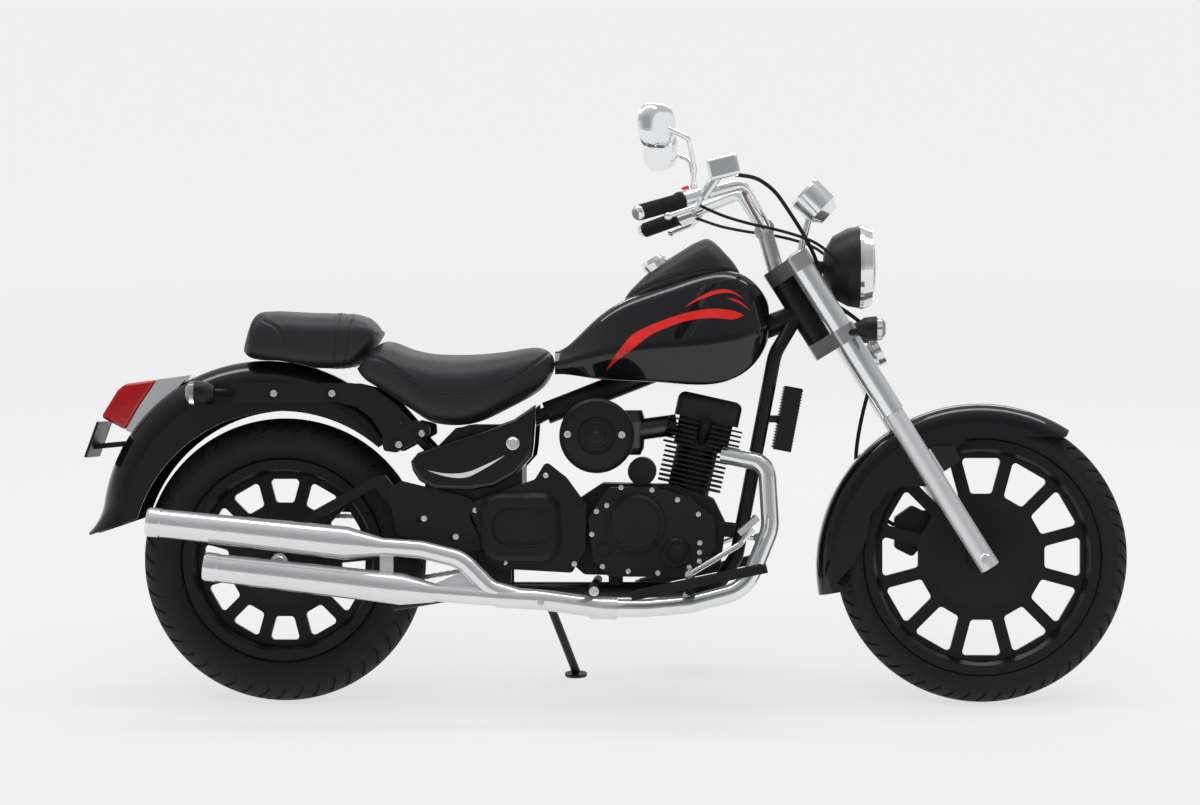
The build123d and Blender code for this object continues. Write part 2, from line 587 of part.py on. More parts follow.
# Along the side view: pixel across, pixels down of the bottom and the top, and the half width
TANK_PIXELS = [
    (555.8, 374.8, 351.2, 62.0),
    (592.0, 378.3, 323.3, 98.0),
    (637.7, 381.3, 295.4, 126.0),
    (685.7, 384.4, 278.8, 138.0),
    (725.0, 381.8, 271.0, 134.0),
    (752.0, 366.1, 281.5, 112.0),
    (768.6, 333.8, 306.3, 66.0),
]


def sections(stations, section_shares, round_shares):
    """Rounded six-sided sections along the bike, from pixels and half widths."""
    rings = []
    for across, low_down, high_down, half_width in stations:
        (x, low), (_, high) = seen([(across, low_down), (across, high_down)])
        points = [(aside * half_width, low + up * (high - low)) for aside, up in section_shares]
        rounds = [share * min(half_width, high - low) for share in round_shares]
        edge = FilletPolyline(*points, radius=rounds, close=True)
        rings.append(Plane(origin=(x, 0, 0), x_dir=(0, 1, 0), z_dir=(1, 0, 0)) * make_face(edge))
    return rings


tank = loft(sections(TANK_PIXELS, TANK_SECTION_SHARES, TANK_ROUND_SHARES))
TUNNEL_CLEARANCE = 8.0
tunnel_half = BACKBONE_RADIUS + TUNNEL_CLEARANCE
tunnel_outline = [
    (backbone_rear[0] - OVERRUN, backbone_rear[1] + tunnel_half),
    (backbone_front[0] + OVERRUN, backbone_front[1] + tunnel_half),
    (backbone_front[0] + OVERRUN, RAIL_HEIGHT),
    (backbone_rear[0] - OVERRUN, RAIL_HEIGHT),
]
tunnel = slab(tunnel_outline, tunnel_half, -tunnel_half)
tank = tank - tunnel
nodes["fuel_tank"] = tank

# Pad and filler cap on top of the tank
PAD_SECTION_SHARES = [(-0.95, 0.0), (0.95, 0.0), (1.0, 0.45), (0.52, 1.0), (-0.52, 1.0), (-1.0, 0.45)]
PAD_ROUND_SHARES = [0.05, 0.05, 0.3, 0.3, 0.3, 0.3]
PAD_PIXELS = [
    (623.4, 312.9, 299.3, 36.0),
    (633.4, 310.7, 287.6, 47.0),
    (655.2, 302.0, 267.9, 54.0),
    (681.4, 293.2, 251.4, 57.0),
    (696.6, 291.1, 242.2, 57.0),
    (709.7, 290.2, 238.7, 56.0),
    (730.2, 291.1, 255.3, 50.0),
    (746.8, 291.9, 275.8, 40.0),
]
pad = loft(sections(PAD_PIXELS, PAD_SECTION_SHARES, PAD_ROUND_SHARES))
nodes["tank_pad"] = pad - tank
CAP_PLACE = spot((655.2, 264.9))
CAP_AXIS = (-0.55, 0.0, 0.83)
CAP_RADIUS = 30.0
CAP_HEIGHT = 16.0
cap_profile = [
    (0, -CAP_HEIGHT), (CAP_RADIUS * 0.9, -CAP_HEIGHT), (CAP_RADIUS, CAP_HEIGHT * 0.4), (CAP_RADIUS * 0.9, CAP_HEIGHT),
    (0, CAP_HEIGHT),
]
nodes["filler_cap"] = lathe(cap_profile, CAP_PLACE, CAP_AXIS)
nodes["tank_pad"] = main_body(nodes["tank_pad"] - nodes["filler_cap"])

# Seats: soft pieces of true size
PILLION_SECTION_SHARES = [(-0.96, 0.0), (0.96, 0.0), (1.0, 0.5), (0.86, 1.0), (-0.86, 1.0), (-1.0, 0.5)]
SEAT_ROUND_SHARES = [0.08, 0.08, 0.16, 0.16, 0.16, 0.16]
PILLION_PIXELS = [
    (247.0, 357.3, 341.6, 92.0),
    (255.7, 359.1, 317.2, 112.0),
    (271.4, 362.6, 311.6, 120.0),
    (315.0, 368.7, 313.3, 124.0),
    (354.3, 366.1, 314.6, 122.0),
    (374.3, 344.3, 320.7, 118.0),
    (381.3, 336.4, 329.4, 112.0),
]
pillion = loft(sections(PILLION_PIXELS, PILLION_SECTION_SHARES, SEAT_ROUND_SHARES))
RIDER_SECTION_SHARES = [(-0.84, 0.0), (0.84, 0.0), (1.0, 0.45), (0.86, 1.0), (-0.86, 1.0), (-1.0, 0.45)]
RIDER_PIXELS = [
    (360.8, 376.5, 362.6, 118.0),
    (373.9, 383.9, 348.6, 134.0),
    (389.2, 393.5, 340.3, 144.0),
    (415.3, 409.7, 349.5, 152.0),
    (437.1, 423.6, 353.9, 152.0),
    (472.0, 424.5, 354.7, 144.0),
    (506.9, 409.7, 351.2, 118.0),
    (537.4, 392.2, 347.3, 84.0),
    (554.5, 375.7, 352.1, 66.0),
]
rider = loft(sections(RIDER_PIXELS, RIDER_SECTION_SHARES, SEAT_ROUND_SHARES))

# Fenders: a hoop of U section turned about its own centre, trimmed in the side view


def hoop(centre, radius, half_width, corner, depth, start, turn):
    """A rounded channel section swung about a cross axis from start by turn degrees."""
    angle = math.radians(start)
    outward = Vector(math.cos(angle), 0, math.sin(angle))
    plane = Plane(origin=(centre[0], 0, centre[1]), x_dir=(0, 1, 0), z_dir=(math.sin(angle), 0, -math.cos(angle)))
    outer = make_face(FilletPolyline(
        (-half_width, radius - depth), (-half_width, radius), (half_width, radius), (half_width, radius - depth),
        radius=[0, corner, corner, 0], close=True,
    ))
    wall = FENDER_WALL
    inner = make_face(FilletPolyline(
        (wall - half_width, radius - depth - OVERRUN), (wall - half_width, radius - wall),
        (half_width - wall, radius - wall), (half_width - wall, radius - depth - OVERRUN),
        radius=[0, corner - wall, corner - wall, 0], close=True,
    ))
    axis = Axis((centre[0], 0, centre[1]), (0, -1, 0))
    return revolve(plane * (outer - inner), axis, revolution_arc=turn)


REAR_FENDER_CENTRE = seen([(267.1, 524.4)])[0]
REAR_FENDER_GAP = 51.0
REAR_FENDER_RADIUS = REAR_TYRE_RADIUS + REAR_FENDER_GAP
REAR_FENDER_CORNER = 60.0
REAR_FENDER_DEPTH = 190.0
REAR_FENDER_START = 34.0
REAR_FENDER_TURN = 138.0
rear_fender = hoop(
    REAR_FENDER_CENTRE, REAR_FENDER_RADIUS, REAR_FENDER_HALF_WIDTH, REAR_FENDER_CORNER, REAR_FENDER_DEPTH,
    REAR_FENDER_START, REAR_FENDER_TURN,
)
REAR_SKIRT_GAP = 17.0
REAR_SKIRT_RADIUS = REAR_TYRE_RADIUS + REAR_SKIRT_GAP
rear_skirt_cut = rod(
    (0, -REAR_FENDER_HALF_WIDTH * 2, REAR_AXLE[2]), (0, REAR_FENDER_HALF_WIDTH * 2, REAR_AXLE[2]), REAR_SKIRT_RADIUS
)
TIP_RADIUS = 120.0
TIP_DEPTH = 62.0
TIP_TURN = 38.0
tip_angle = REAR_FENDER_START + REAR_FENDER_TURN
tip_outward = Vector(math.cos(math.radians(tip_angle)), 0, math.sin(math.radians(tip_angle)))
tip_reach = REAR_FENDER_RADIUS + TIP_RADIUS
TIP_CENTRE = (REAR_FENDER_CENTRE[0] + tip_outward.X * tip_reach, REAR_FENDER_CENTRE[1] + tip_outward.Z * tip_reach)


def flare(centre, radius, half_width, corner, depth, inward, turn):
    """The fender's section carried on about a centre outside it, curving away from the wheel."""
    plane = Plane(origin=(centre[0], 0, centre[1]), x_dir=(0, 1, 0), z_dir=(inward.Z, 0, -inward.X))
    outer = make_face(FilletPolyline(
        (-half_width, radius + depth), (-half_width, radius), (half_width, radius), (half_width, radius + depth),
        radius=[0, corner, corner, 0], close=True,
    ))
    wall = FENDER_WALL
    inner = make_face(FilletPolyline(
        (wall - half_width, radius + depth + OVERRUN), (wall - half_width, radius + wall),
        (half_width - wall, radius + wall), (half_width - wall, radius + depth + OVERRUN),
        radius=[0, corner - wall, corner - wall, 0], close=True,
    ))
    axis = Axis((centre[0], 0, centre[1]), (0, 1, 0))
    return revolve(plane * (outer - inner), axis, revolution_arc=turn)


tip = flare(TIP_CENTRE, TIP_RADIUS, REAR_FENDER_HALF_WIDTH, REAR_FENDER_CORNER, REAR_FENDER_DEPTH, tip_outward * -1, TIP_TURN)
TIP_TRIM_PIXELS = [(79.5, 539.2), (142.8, 517.4), (162.4, 517.4), (197.3, 456.8), (197.3, 613.8), (79.5, 613.8)]
tip = tip - slab(seen(TIP_TRIM_PIXELS), REAR_FENDER_HALF_WIDTH * 2, -REAR_FENDER_HALF_WIDTH * 2)
rear_fender = rear_fender + tip - rear_skirt_cut

FRONT_FENDER_CENTRE = seen([(977.9, 565.8)], FRONT_ANCHOR)[0]
FRONT_FENDER_GAP = 40.0
FRONT_FENDER_RADIUS = FRONT_TYRE_RADIUS + FRONT_FENDER_GAP
FRONT_FENDER_CORNER = 42.0
FRONT_FENDER_DEPTH = 205.0
FRONT_FENDER_START = 57.0
FRONT_FENDER_TURN = 133.0
front_fender = hoop(
    FRONT_FENDER_CENTRE, FRONT_FENDER_RADIUS, FRONT_FENDER_HALF_WIDTH, FRONT_FENDER_CORNER, FRONT_FENDER_DEPTH,
    FRONT_FENDER_START, FRONT_FENDER_TURN,
)
FRONT_SKIRT_ANGLE_SHARES = [
    (54.0, 1.02), (72.0, 0.87), (97.0, 0.83), (106.0, 0.755), (112.0, 0.66), (127.0, 0.61), (138.0, 0.735),
    (146.0, 0.79), (159.0, 0.82), (172.0, 0.81), (183.0, 0.89), (190.0, 1.02),
]
front_skirt = [
    (
        WHEELBASE + share * FRONT_TYRE_RADIUS * math.cos(math.radians(angle)),
        FRONT_TYRE_RADIUS + share * FRONT_TYRE_RADIUS * math.sin(math.radians(angle)),
    )
    for angle, share in FRONT_SKIRT_ANGLE_SHARES
]
front_skirt.append((WHEELBASE, FRONT_TYRE_RADIUS / 2))
front_skirt_cut = slab(front_skirt, FRONT_FENDER_HALF_WIDTH * 2, -FRONT_FENDER_HALF_WIDTH * 2)
front_fender = front_fender - front_skirt_cut
nodes["front_fender"] = front_fender

# Fender rails: flat bars outside the fender that carry the pillion seat, with a plate at the front
RAIL_RIGHT = REAR_FENDER_HALF_WIDTH + SEAT_GAP
RAIL_THICKNESS = 14.0
RAIL_CORNER = seen([(220.0, 438.5)])[0]
RAIL_LENGTH = 448.0
RAIL_RISE = 127.0
RAIL_SHARES = [
    (0.0, 0.638), (0.616, 0.661), (0.721, 0.567), (0.797, 0.362), (0.862, 0.0), (1.0, 0.299),
    (0.913, 0.638), (0.81, 0.906), (0.694, 1.0), (0.0, 1.0),
]
rail = slab(placed(RAIL_SHARES, RAIL_CORNER, RAIL_LENGTH, RAIL_RISE), RAIL_RIGHT + RAIL_THICKNESS, RAIL_RIGHT)
BOLT_RADIUS = 10.0
BOLT_HEIGHT = 8.0
rail_face = RAIL_RIGHT + RAIL_THICKNESS
RAIL_BOLT_PIXELS = [(276.7, 393.5), (334.7, 394.4)]
for bolt_place in seen(RAIL_BOLT_PIXELS):
    rail = rail + boss(bolt_place, BOLT_RADIUS, rail_face, BOLT_HEIGHT, 1)
END_PLATE_PIXELS = [(384.8, 438.0), (417.9, 420.1), (432.8, 424.1), (433.6, 434.1), (400.1, 452.0), (387.9, 450.2)]
END_PLATE_THICKNESS = 6.0
END_PLATE_ROUND = 8.0
rail = rail + slab(seen(END_PLATE_PIXELS), rail_face + END_PLATE_THICKNESS, RAIL_RIGHT, END_PLATE_ROUND)
END_BOLT_PIXELS = [(399.2, 443.7), (421.0, 433.2)]
for bolt_place in seen(END_BOLT_PIXELS):
    rail = rail + boss(bolt_place, BOLT_RADIUS, rail_face + END_PLATE_THICKNESS, BOLT_HEIGHT, 1)
STRUT_PIXELS = [(403.1, 419.7), (465.0, 482.9)]
strut_top, strut_foot = seen(STRUT_PIXELS)
strut_start = across_bike(strut_top, RAIL_RIGHT + RAIL_THICKNESS / 2)
strut = rod(strut_start, across_bike(strut_foot, CRADLE_SPREAD), TUBE_RADIUS * 0.7)
rails = both(rail + strut) - frame
nodes["fender_rails"] = rails

# Side covers, both sides alike
SIDE_COVER_CORNER = seen([(415.3, 488.6)])[0]
SIDE_COVER_LENGTH = 282.0
SIDE_COVER_HEIGHT = 193.0
SIDE_COVER_SHARES = [
    (0.0, 0.332), (0.057, 0.435), (0.33, 0.58), (0.613, 0.71), (0.83, 0.829), (1.0, 1.0), (1.0, 0.793),
    (0.986, 0.518), (0.972, 0.394), (0.844, 0.187), (0.67, 0.041), (0.472, 0.0), (0.188, 0.01),
    (0.071, 0.104), (0.014, 0.228),
]
SIDE_COVER_FACE = 142.0
SIDE_COVER_DEPTH = 34.0
KNOB_PLACE = seen([(516.9, 443.3)])[0]
KNOB_RADIUS = 14.0
side_cover = slab(
    placed(SIDE_COVER_SHARES, SIDE_COVER_CORNER, SIDE_COVER_LENGTH, SIDE_COVER_HEIGHT),
    SIDE_COVER_FACE, SIDE_COVER_FACE - SIDE_COVER_DEPTH,
)
side_cover = fillet(side_cover.faces().sort_by(Axis.Y)[-1].edges(), SIDE_COVER_DEPTH * 0.3)
side_cover = side_cover + boss(KNOB_PLACE, KNOB_RADIUS, SIDE_COVER_FACE, KNOB_RADIUS * 0.4, 1)
nodes["side_covers"] = both(side_cover) - rails

# Battery box and inner guard between the side covers
BOX_CORNER = seen([(428.4, 509.1)])[0]
BOX_LENGTH = 220.0
BOX_HEIGHT = 194.0
BOX_SHARES = [(0.0, 0.0), (1.0, 0.0), (1.0, 1.0), (0.35, 1.0), (0.0, 0.6)]
box_half = SIDE_COVER_FACE - SIDE_COVER_DEPTH
battery_box = slab(placed(BOX_SHARES, BOX_CORNER, BOX_LENGTH, BOX_HEIGHT), box_half, -box_half, CASE_ROUND)
nodes["battery_box"] = battery_box - rider - frame - nodes["swingarm"] - rails

# Pivot cover on the right, with its raised pad
PIVOT_COVER_PIXELS = [
    (548.3, 460.3), (537.4, 478.1), (501.7, 490.8), (474.6, 501.3), (474.6, 513.5), (486.0, 535.3), (489.9, 557.1),
    (501.7, 566.2), (574.1, 570.2), (587.2, 547.5), (588.0, 502.6), (568.8, 476.4),
]
PIVOT_COVER_FACE = 128.0
PIVOT_COVER_DEPTH = 11.0
PIVOT_COVER_ROUND = 10.0
BULGE_CENTRE = seen([(523.5, 524.8)])[0]
BULGE_SIZE = (176.0, 154.0)
BULGE_CORNER = 44.0
BULGE_HEIGHT = 20.0
OVAL_SIZE = (128.0, 84.0)
OVAL_DEPTH = 4.0
pivot_cover = slab(seen(PIVOT_COVER_PIXELS), PIVOT_COVER_FACE, PIVOT_COVER_FACE - PIVOT_COVER_DEPTH, PIVOT_COVER_ROUND)


def rounded_pad(centre, size, corner, face, height):
    """A raised pad with rounded corners on a side face that looks left."""
    outline = RectangleRounded(*size, corner)
    return extrude(side_plane(face).offset(-height) * Pos(*centre) * outline, amount=height)


bulge = rounded_pad(BULGE_CENTRE, BULGE_SIZE, BULGE_CORNER, PIVOT_COVER_FACE, BULGE_HEIGHT)
bulge = chamfer(bulge.faces().sort_by(Axis.Y)[-1].edges(), BULGE_HEIGHT * 0.55)
oval_face = PIVOT_COVER_FACE + BULGE_HEIGHT - OVAL_DEPTH
bulge = bulge - rounded_pad(BULGE_CENTRE, OVAL_SIZE, OVAL_SIZE[1] * 0.45, oval_face, OVAL_DEPTH * 2)
pivot_cover = pivot_cover + bulge
PIVOT_BOLT_PIXELS = [(548.3, 473.8), (482.5, 508.2), (504.3, 559.3), (574.9, 562.3), (581.9, 501.3)]
for bolt_place in seen(PIVOT_BOLT_PIXELS):
    pivot_cover = pivot_cover + boss(bolt_place, BOLT_RADIUS * 0.8, PIVOT_COVER_FACE, BOLT_HEIGHT * 0.6, 1)
POST_PIXEL = (506.0, 557.1)
POST_RADIUS = 7.0
post_place = seen([POST_PIXEL])[0]
post_start = across_bike(post_place, CRADLE_SPREAD + PLATE_HALF_THICKNESS)
pivot_cover = pivot_cover + rod(post_start, across_bike(post_place, PIVOT_COVER_FACE), POST_RADIUS)
nodes["pivot_covers"] = other_side(pivot_cover)

# Thin panel between the pivot cover and the wheel, on the right
PANEL_PIXELS = [
    (391.8, 489.1), (404.9, 479.5), (430.2, 485.6), (458.9, 492.5), (476.4, 498.6), (472.9, 516.1), (481.6, 533.5),
    (484.2, 547.5), (469.8, 551.0), (401.4, 533.5),
]
PANEL_THICKNESS = 5.0
PANEL_ROUND = 6.0
PANEL_SETBACK = 2.0
panel_face = PIVOT_COVER_FACE - PANEL_SETBACK
panel = slab(seen(PANEL_PIXELS), panel_face, panel_face - PANEL_THICKNESS, PANEL_ROUND)
PANEL_HOLE_RADIUS = 6.0
PANEL_HOLE_PIXELS = [(423.2, 518.3), (455.9, 535.3)]
for hole_place in seen(PANEL_HOLE_PIXELS):
    panel = panel - rod(across_bike(hole_place, 0), across_bike(hole_place, PIVOT_COVER_FACE * 2), PANEL_HOLE_RADIUS)
PANEL_POST_PIXEL = (437.1, 496.0)
PANEL_POST_RADIUS = 8.0
panel_post = rod(spot(PANEL_POST_PIXEL, box_half), spot(PANEL_POST_PIXEL, panel_face), PANEL_POST_RADIUS)
lower_panel = other_side(panel + panel_post) - nodes["swingarm"] - nodes["side_covers"]
nodes["pivot_covers"] = nodes["pivot_covers"] + lower_panel

# Air cleaner on the right and the intake behind it
CLEANER_CENTRE = seen([(598.9, 435.0)])[0]
CLEANER_RADIUS = 84.0
CLEANER_FACE = 190.0
CLEANER_DEPTH = 62.0
RING_RADIUS = 43.0
RING_DEPTH = 4.0
cleaner_profile = [
    (0, 0), (CLEANER_RADIUS * 0.9, 0), (CLEANER_RADIUS, CLEANER_DEPTH * 0.25), (CLEANER_RADIUS, CLEANER_DEPTH * 0.8),
    (CLEANER_RADIUS * 0.92, CLEANER_DEPTH), (RING_RADIUS, CLEANER_DEPTH + RING_DEPTH), (RING_RADIUS, CLEANER_DEPTH),
    (RING_RADIUS * 0.77, CLEANER_DEPTH), (RING_RADIUS * 0.77, CLEANER_DEPTH + RING_DEPTH),
    (RING_RADIUS * 0.3, CLEANER_DEPTH + RING_DEPTH * 2), (0, CLEANER_DEPTH + RING_DEPTH * 2),
]
cleaner_back = -CLEANER_FACE + CLEANER_DEPTH
cleaner = lathe(cleaner_profile, (CLEANER_CENTRE[0], cleaner_back, CLEANER_CENTRE[1]), (0, -1, 0))
for side in (-1, 1):
    bolt_place = (CLEANER_CENTRE[0] + side * CLEANER_RADIUS * 0.74, CLEANER_CENTRE[1])
    cleaner = cleaner + boss(bolt_place, BOLT_RADIUS * 0.7, -CLEANER_FACE + RING_DEPTH, BOLT_HEIGHT, -1)
nodes["air_cleaner"] = cleaner
INTAKE_RADIUS = 24.0
INTAKE_BEND = 34.0
INTAKE_Y = -38.0
INTAKE_END_PIXEL = (677.0, 424.5)
intake_points = [
    across_bike(CLEANER_CENTRE, cleaner_back),
    across_bike(CLEANER_CENTRE, INTAKE_Y),
    spot(INTAKE_END_PIXEL, INTAKE_Y),
]
intake = pipe(intake_points, INTAKE_RADIUS, INTAKE_BEND)
CARB_PIXEL = (631.2, 432.8)
CARB_RADIUS = 34.0
CARB_HEIGHT = 102.0
CARB_SHARES = [(0.0, -0.49), (0.65, -0.49), (0.88, -0.33), (1.0, 0.25), (0.76, 0.51), (0.0, 0.51)]
carb_profile = [(out * CARB_RADIUS, up * CARB_HEIGHT) for out, up in CARB_SHARES]
carb = lathe(carb_profile, spot(CARB_PIXEL, INTAKE_Y), (0, 0, 1))
nodes["carburettor"] = (intake + carb) - cylinder

# Exhaust: header pipe, then two mufflers one above the other
HEADER_RADIUS = 20.5
HEADER_SPREAD = 92.0
HEADER_BENDS = [40.0, 90.0, 90.0, 120.0, 120.0]
# Pixel across, pixel down, and the share of the spread to the left
HEADER_ROUTE = [
    (722.4, 454.2, -0.717), (766.0, 462.9, -1.0), (769.5, 526.6, -1.043), (745.0, 586.7, -1.217),
    (690.1, 600.7, -1.457), (646.5, 604.2, -1.674), (605.0, 603.7, -1.913),
]
header = pipe(routed(HEADER_ROUTE, HEADER_SPREAD), HEADER_RADIUS, HEADER_BENDS)
nodes["exhaust_header"] = header - cylinder - frame - right_cover
MUFFLER_SPREAD = 226.0
MUFFLER_WALL = 3.0
MUFFLER_RADIUS = 33.0
MUFFLER_PIPE_RADIUS = 20.0
LOWER_FRONT_RADIUS = 36.0
UPPER_FRONT_RADIUS = 37.5


def muffler(ends, front_radius):
    """A tapered can with a rolled end cap, from its tail pixel to its front pixel."""
    tail, front = [Vector(*spot(pixel, -MUFFLER_SPREAD)) for pixel in ends]
    run = front - tail
    rim = MUFFLER_RADIUS - MUFFLER_WALL
    cap = MUFFLER_RADIUS * 0.9
    bore = MUFFLER_RADIUS * 0.35
    nose = run.length + front_radius * 2.2
    profile = [
        (MUFFLER_RADIUS - MUFFLER_WALL * 3, 0), (rim, 0), (MUFFLER_RADIUS, MUFFLER_WALL * 2), (MUFFLER_RADIUS, cap),
        (MUFFLER_RADIUS - MUFFLER_WALL / 2, cap + MUFFLER_WALL), (front_radius, run.length),
        (HEADER_RADIUS, nose), (0, nose), (0, cap), (bore, cap), (bore, MUFFLER_WALL * 4),
    ]
    return lathe(profile, tail, run)


LOWER_MUFFLER_PIXELS = [(216.5, 562.3), (408.8, 584.1)]
UPPER_MUFFLER_PIXELS = [(160.6, 518.7), (355.6, 539.6)]
lower_can = muffler(LOWER_MUFFLER_PIXELS, LOWER_FRONT_RADIUS)
upper_can = muffler(UPPER_MUFFLER_PIXELS, UPPER_FRONT_RADIUS)
LOWER_PIPE_ROUTE = [(428.4, 586.3, -1.0), (502.6, 592.0, -1.0), (546.2, 594.6, -0.956), (585.4, 600.7, -0.832)]
LOWER_PIPE_BEND = 120.0
lower_pipe = pipe(routed(LOWER_PIPE_ROUTE, MUFFLER_SPREAD), MUFFLER_PIPE_RADIUS, LOWER_PIPE_BEND)
SHIELD_RADIUS = 23.0
SHIELD_ROUTE = [(501.7, 592.0, -1.0), (546.2, 594.6, -0.956), (607.2, 603.7, -0.783)]
shield = pipe(routed(SHIELD_ROUTE, MUFFLER_SPREAD), SHIELD_RADIUS, LOWER_PIPE_BEND)
CLAMP_RING_RADIUS = 25.5
CLAMP_RING_ROUTE = [(592.4, 602.9, -0.81), (617.7, 603.9, -0.748)]
clamp_ring = rod(*routed(CLAMP_RING_ROUTE, MUFFLER_SPREAD), CLAMP_RING_RADIUS)
lower_pipe = lower_pipe + shield + clamp_ring
GUSSET_PIXELS = [(439.3, 579.8), (476.4, 586.7), (493.0, 584.1), (479.9, 570.2), (469.8, 566.7)]
GUSSET_THICKNESS = 5.0
gusset = slab(seen(GUSSET_PIXELS), -MUFFLER_SPREAD + GUSSET_THICKNESS / 2, -MUFFLER_SPREAD - GUSSET_THICKNESS / 2)
BRACKET_PIXEL = (394.8, 564.1)
BRACKET_SIZE = (30.0, 14.0, 60.0)
muffler_bracket = Pos(*spot(BRACKET_PIXEL, -MUFFLER_SPREAD + BRACKET_SIZE[1] / 2)) * Box(*BRACKET_SIZE)
UPPER_PIPE_ROUTE = [
    (378.3, 542.1, -1.0), (428.4, 545.7, -1.0), (467.7, 555.3, -1.0), (496.4, 584.1, -1.0), (528.7, 593.3, -0.973),
]
UPPER_PIPE_BENDS = [100.0, 80.0, 50.0]
upper_pipe = pipe(routed(UPPER_PIPE_ROUTE, MUFFLER_SPREAD), MUFFLER_PIPE_RADIUS, UPPER_PIPE_BENDS)
nodes["lower_muffler"] = lower_can + lower_pipe + (gusset - upper_can - upper_pipe) - nodes["exhaust_header"]
nodes["upper_muffler"] = upper_can + upper_pipe + muffler_bracket - nodes["lower_muffler"]
HANGER_RADIUS = 9.0
HANGER_PIXEL = (398.8, 602.4)
hanger_end = spot(HANGER_PIXEL, -MUFFLER_SPREAD + MUFFLER_RADIUS * 0.73)
hanger = rod((RAIL_REAR_X, -CRADLE_SPREAD, RAIL_HEIGHT), hanger_end, HANGER_RADIUS)
frame = frame + (hanger - nodes["lower_muffler"])

# Seats are trimmed clear of the hard parts that they sit on
nodes["rear_fender"] = rear_fender - rails - frame - nodes["battery_box"]
nodes["rider_seat"] = rider
room_end = REAR_FENDER_HALF_WIDTH * 2
seat_room = rod(
    across_bike(REAR_FENDER_CENTRE, -room_end), across_bike(REAR_FENDER_CENTRE, room_end), REAR_FENDER_RADIUS + SEAT_GAP
)
nodes["pillion_seat"] = pillion - seat_room - rider

# Tail lamp and number plate bracket
TAIL_PIXEL = (101.8, 434.1)
TAIL_LENGTH = 205.0
TAIL_HEIGHT = 135.0
LENS_SHARES = [(0.0, 0.289), (0.185, 0.741), (0.268, 0.852), (0.639, 0.926), (0.439, 0.481), (0.283, 0.067)]
TAIL_BASE_SHARES = [(0.639, 0.926), (1.0, 1.0), (0.698, 0.526), (0.38, 0.0), (0.283, 0.067), (0.439, 0.481)]
TAIL_HALF_WIDTH = 52.0
tail_corner = seen([TAIL_PIXEL])[0]
tail_lens = slab(placed(LENS_SHARES, tail_corner, TAIL_LENGTH, TAIL_HEIGHT), TAIL_HALF_WIDTH, -TAIL_HALF_WIDTH)
nodes["tail_lens"] = tail_lens - rear_fender
tail_base = slab(placed(TAIL_BASE_SHARES, tail_corner, TAIL_LENGTH, TAIL_HEIGHT), TAIL_HALF_WIDTH, -TAIL_HALF_WIDTH)
nodes["tail_lamp_base"] = tail_base - rear_fender - tail_lens
PLATE_HALF_WIDTH = 90.0
PLATE_THICKNESS = 3.0
PLATE_PIXELS = [(89.6, 456.8), (102.2, 421.9)]
PLATE_ARM_PIXELS = [(125.5, 443.7), (92.6, 446.7)]
PLATE_ARM_HALF_THICKNESS = 6.0
PLATE_ARM_HALF_WIDTH = 30.0
plate_low, plate_high = seen(PLATE_PIXELS)
arm_start, arm_end = seen(PLATE_ARM_PIXELS)
bracket = flat_arm(arm_start, arm_end, PLATE_ARM_HALF_THICKNESS, PLATE_ARM_HALF_WIDTH, -PLATE_ARM_HALF_WIDTH)
plate_carrier = flat_arm(plate_low, plate_high, PLATE_THICKNESS, PLATE_HALF_WIDTH, -PLATE_HALF_WIDTH)
PLATE_HOLE_RADIUS = 3.25
PLATE_HOLE_SPREAD = 70.0
PLATE_HOLE_SHARE = 0.8
plate_run = Vector(*across_bike(plate_high, 0)) - Vector(*across_bike(plate_low, 0))
plate_normal = Vector(-plate_run.Z, 0, plate_run.X).normalized()
plate_hole = Vector(*across_bike(plate_low, PLATE_HOLE_SPREAD)) + plate_run * PLATE_HOLE_SHARE
hole_reach = plate_normal * OVERRUN
plate_holes = both(rod(plate_hole - hole_reach, plate_hole + hole_reach, PLATE_HOLE_RADIUS))
nodes["plate_bracket"] = main_body(bracket + plate_carrier - rear_fender - tail_lens - plate_holes)

# Indicators: a bullet body with a lens, on a stalk
INDICATOR_RADIUS = 28.0
INDICATOR_LENGTH = 44.0
INDICATOR_LENS_LENGTH = 20.0


def indicator(centre, facing):
    """The body of a round lamp and, apart from it, its lens."""
    lens_end = INDICATOR_LENGTH + INDICATOR_LENS_LENGTH
    lens_bend = INDICATOR_LENGTH + INDICATOR_LENS_LENGTH * 0.6
    body_profile = [
        (0, 0), (INDICATOR_RADIUS * 0.5, 0), (INDICATOR_RADIUS * 0.9, INDICATOR_LENGTH * 0.4),
        (INDICATOR_RADIUS, INDICATOR_LENGTH), (0, INDICATOR_LENGTH),
    ]
    lens_profile = [
        (0, INDICATOR_LENGTH), (INDICATOR_RADIUS * 0.96, INDICATOR_LENGTH), (INDICATOR_RADIUS * 0.9, lens_bend),
        (INDICATOR_RADIUS * 0.5, lens_end), (0, lens_end),
    ]
    return lathe(body_profile, centre, facing), lathe(lens_profile, centre, facing)


REAR_INDICATOR_PIXEL = (224.3, 393.1)
REAR_STALK_PIXELS = [(237.4, 393.1), (215.6, 393.1)]
REAR_INDICATOR_SPREAD = 190.0
REAR_STALK_RADIUS = 9.0
rear_body, rear_indicator_lens = indicator(spot(REAR_INDICATOR_PIXEL, REAR_INDICATOR_SPREAD), (-1, 0, 0))
rear_stalk_start = spot(REAR_STALK_PIXELS[0], rail_face - RAIL_THICKNESS / 2)
rear_stalk_end = spot(REAR_STALK_PIXELS[1], REAR_INDICATOR_SPREAD)
rear_body = rear_body + rod(rear_stalk_start, rear_stalk_end, REAR_STALK_RADIUS)
nodes["rear_indicators"] = both(rear_body) - rails
nodes["rear_indicator_lenses"] = both(rear_indicator_lens - rear_body)

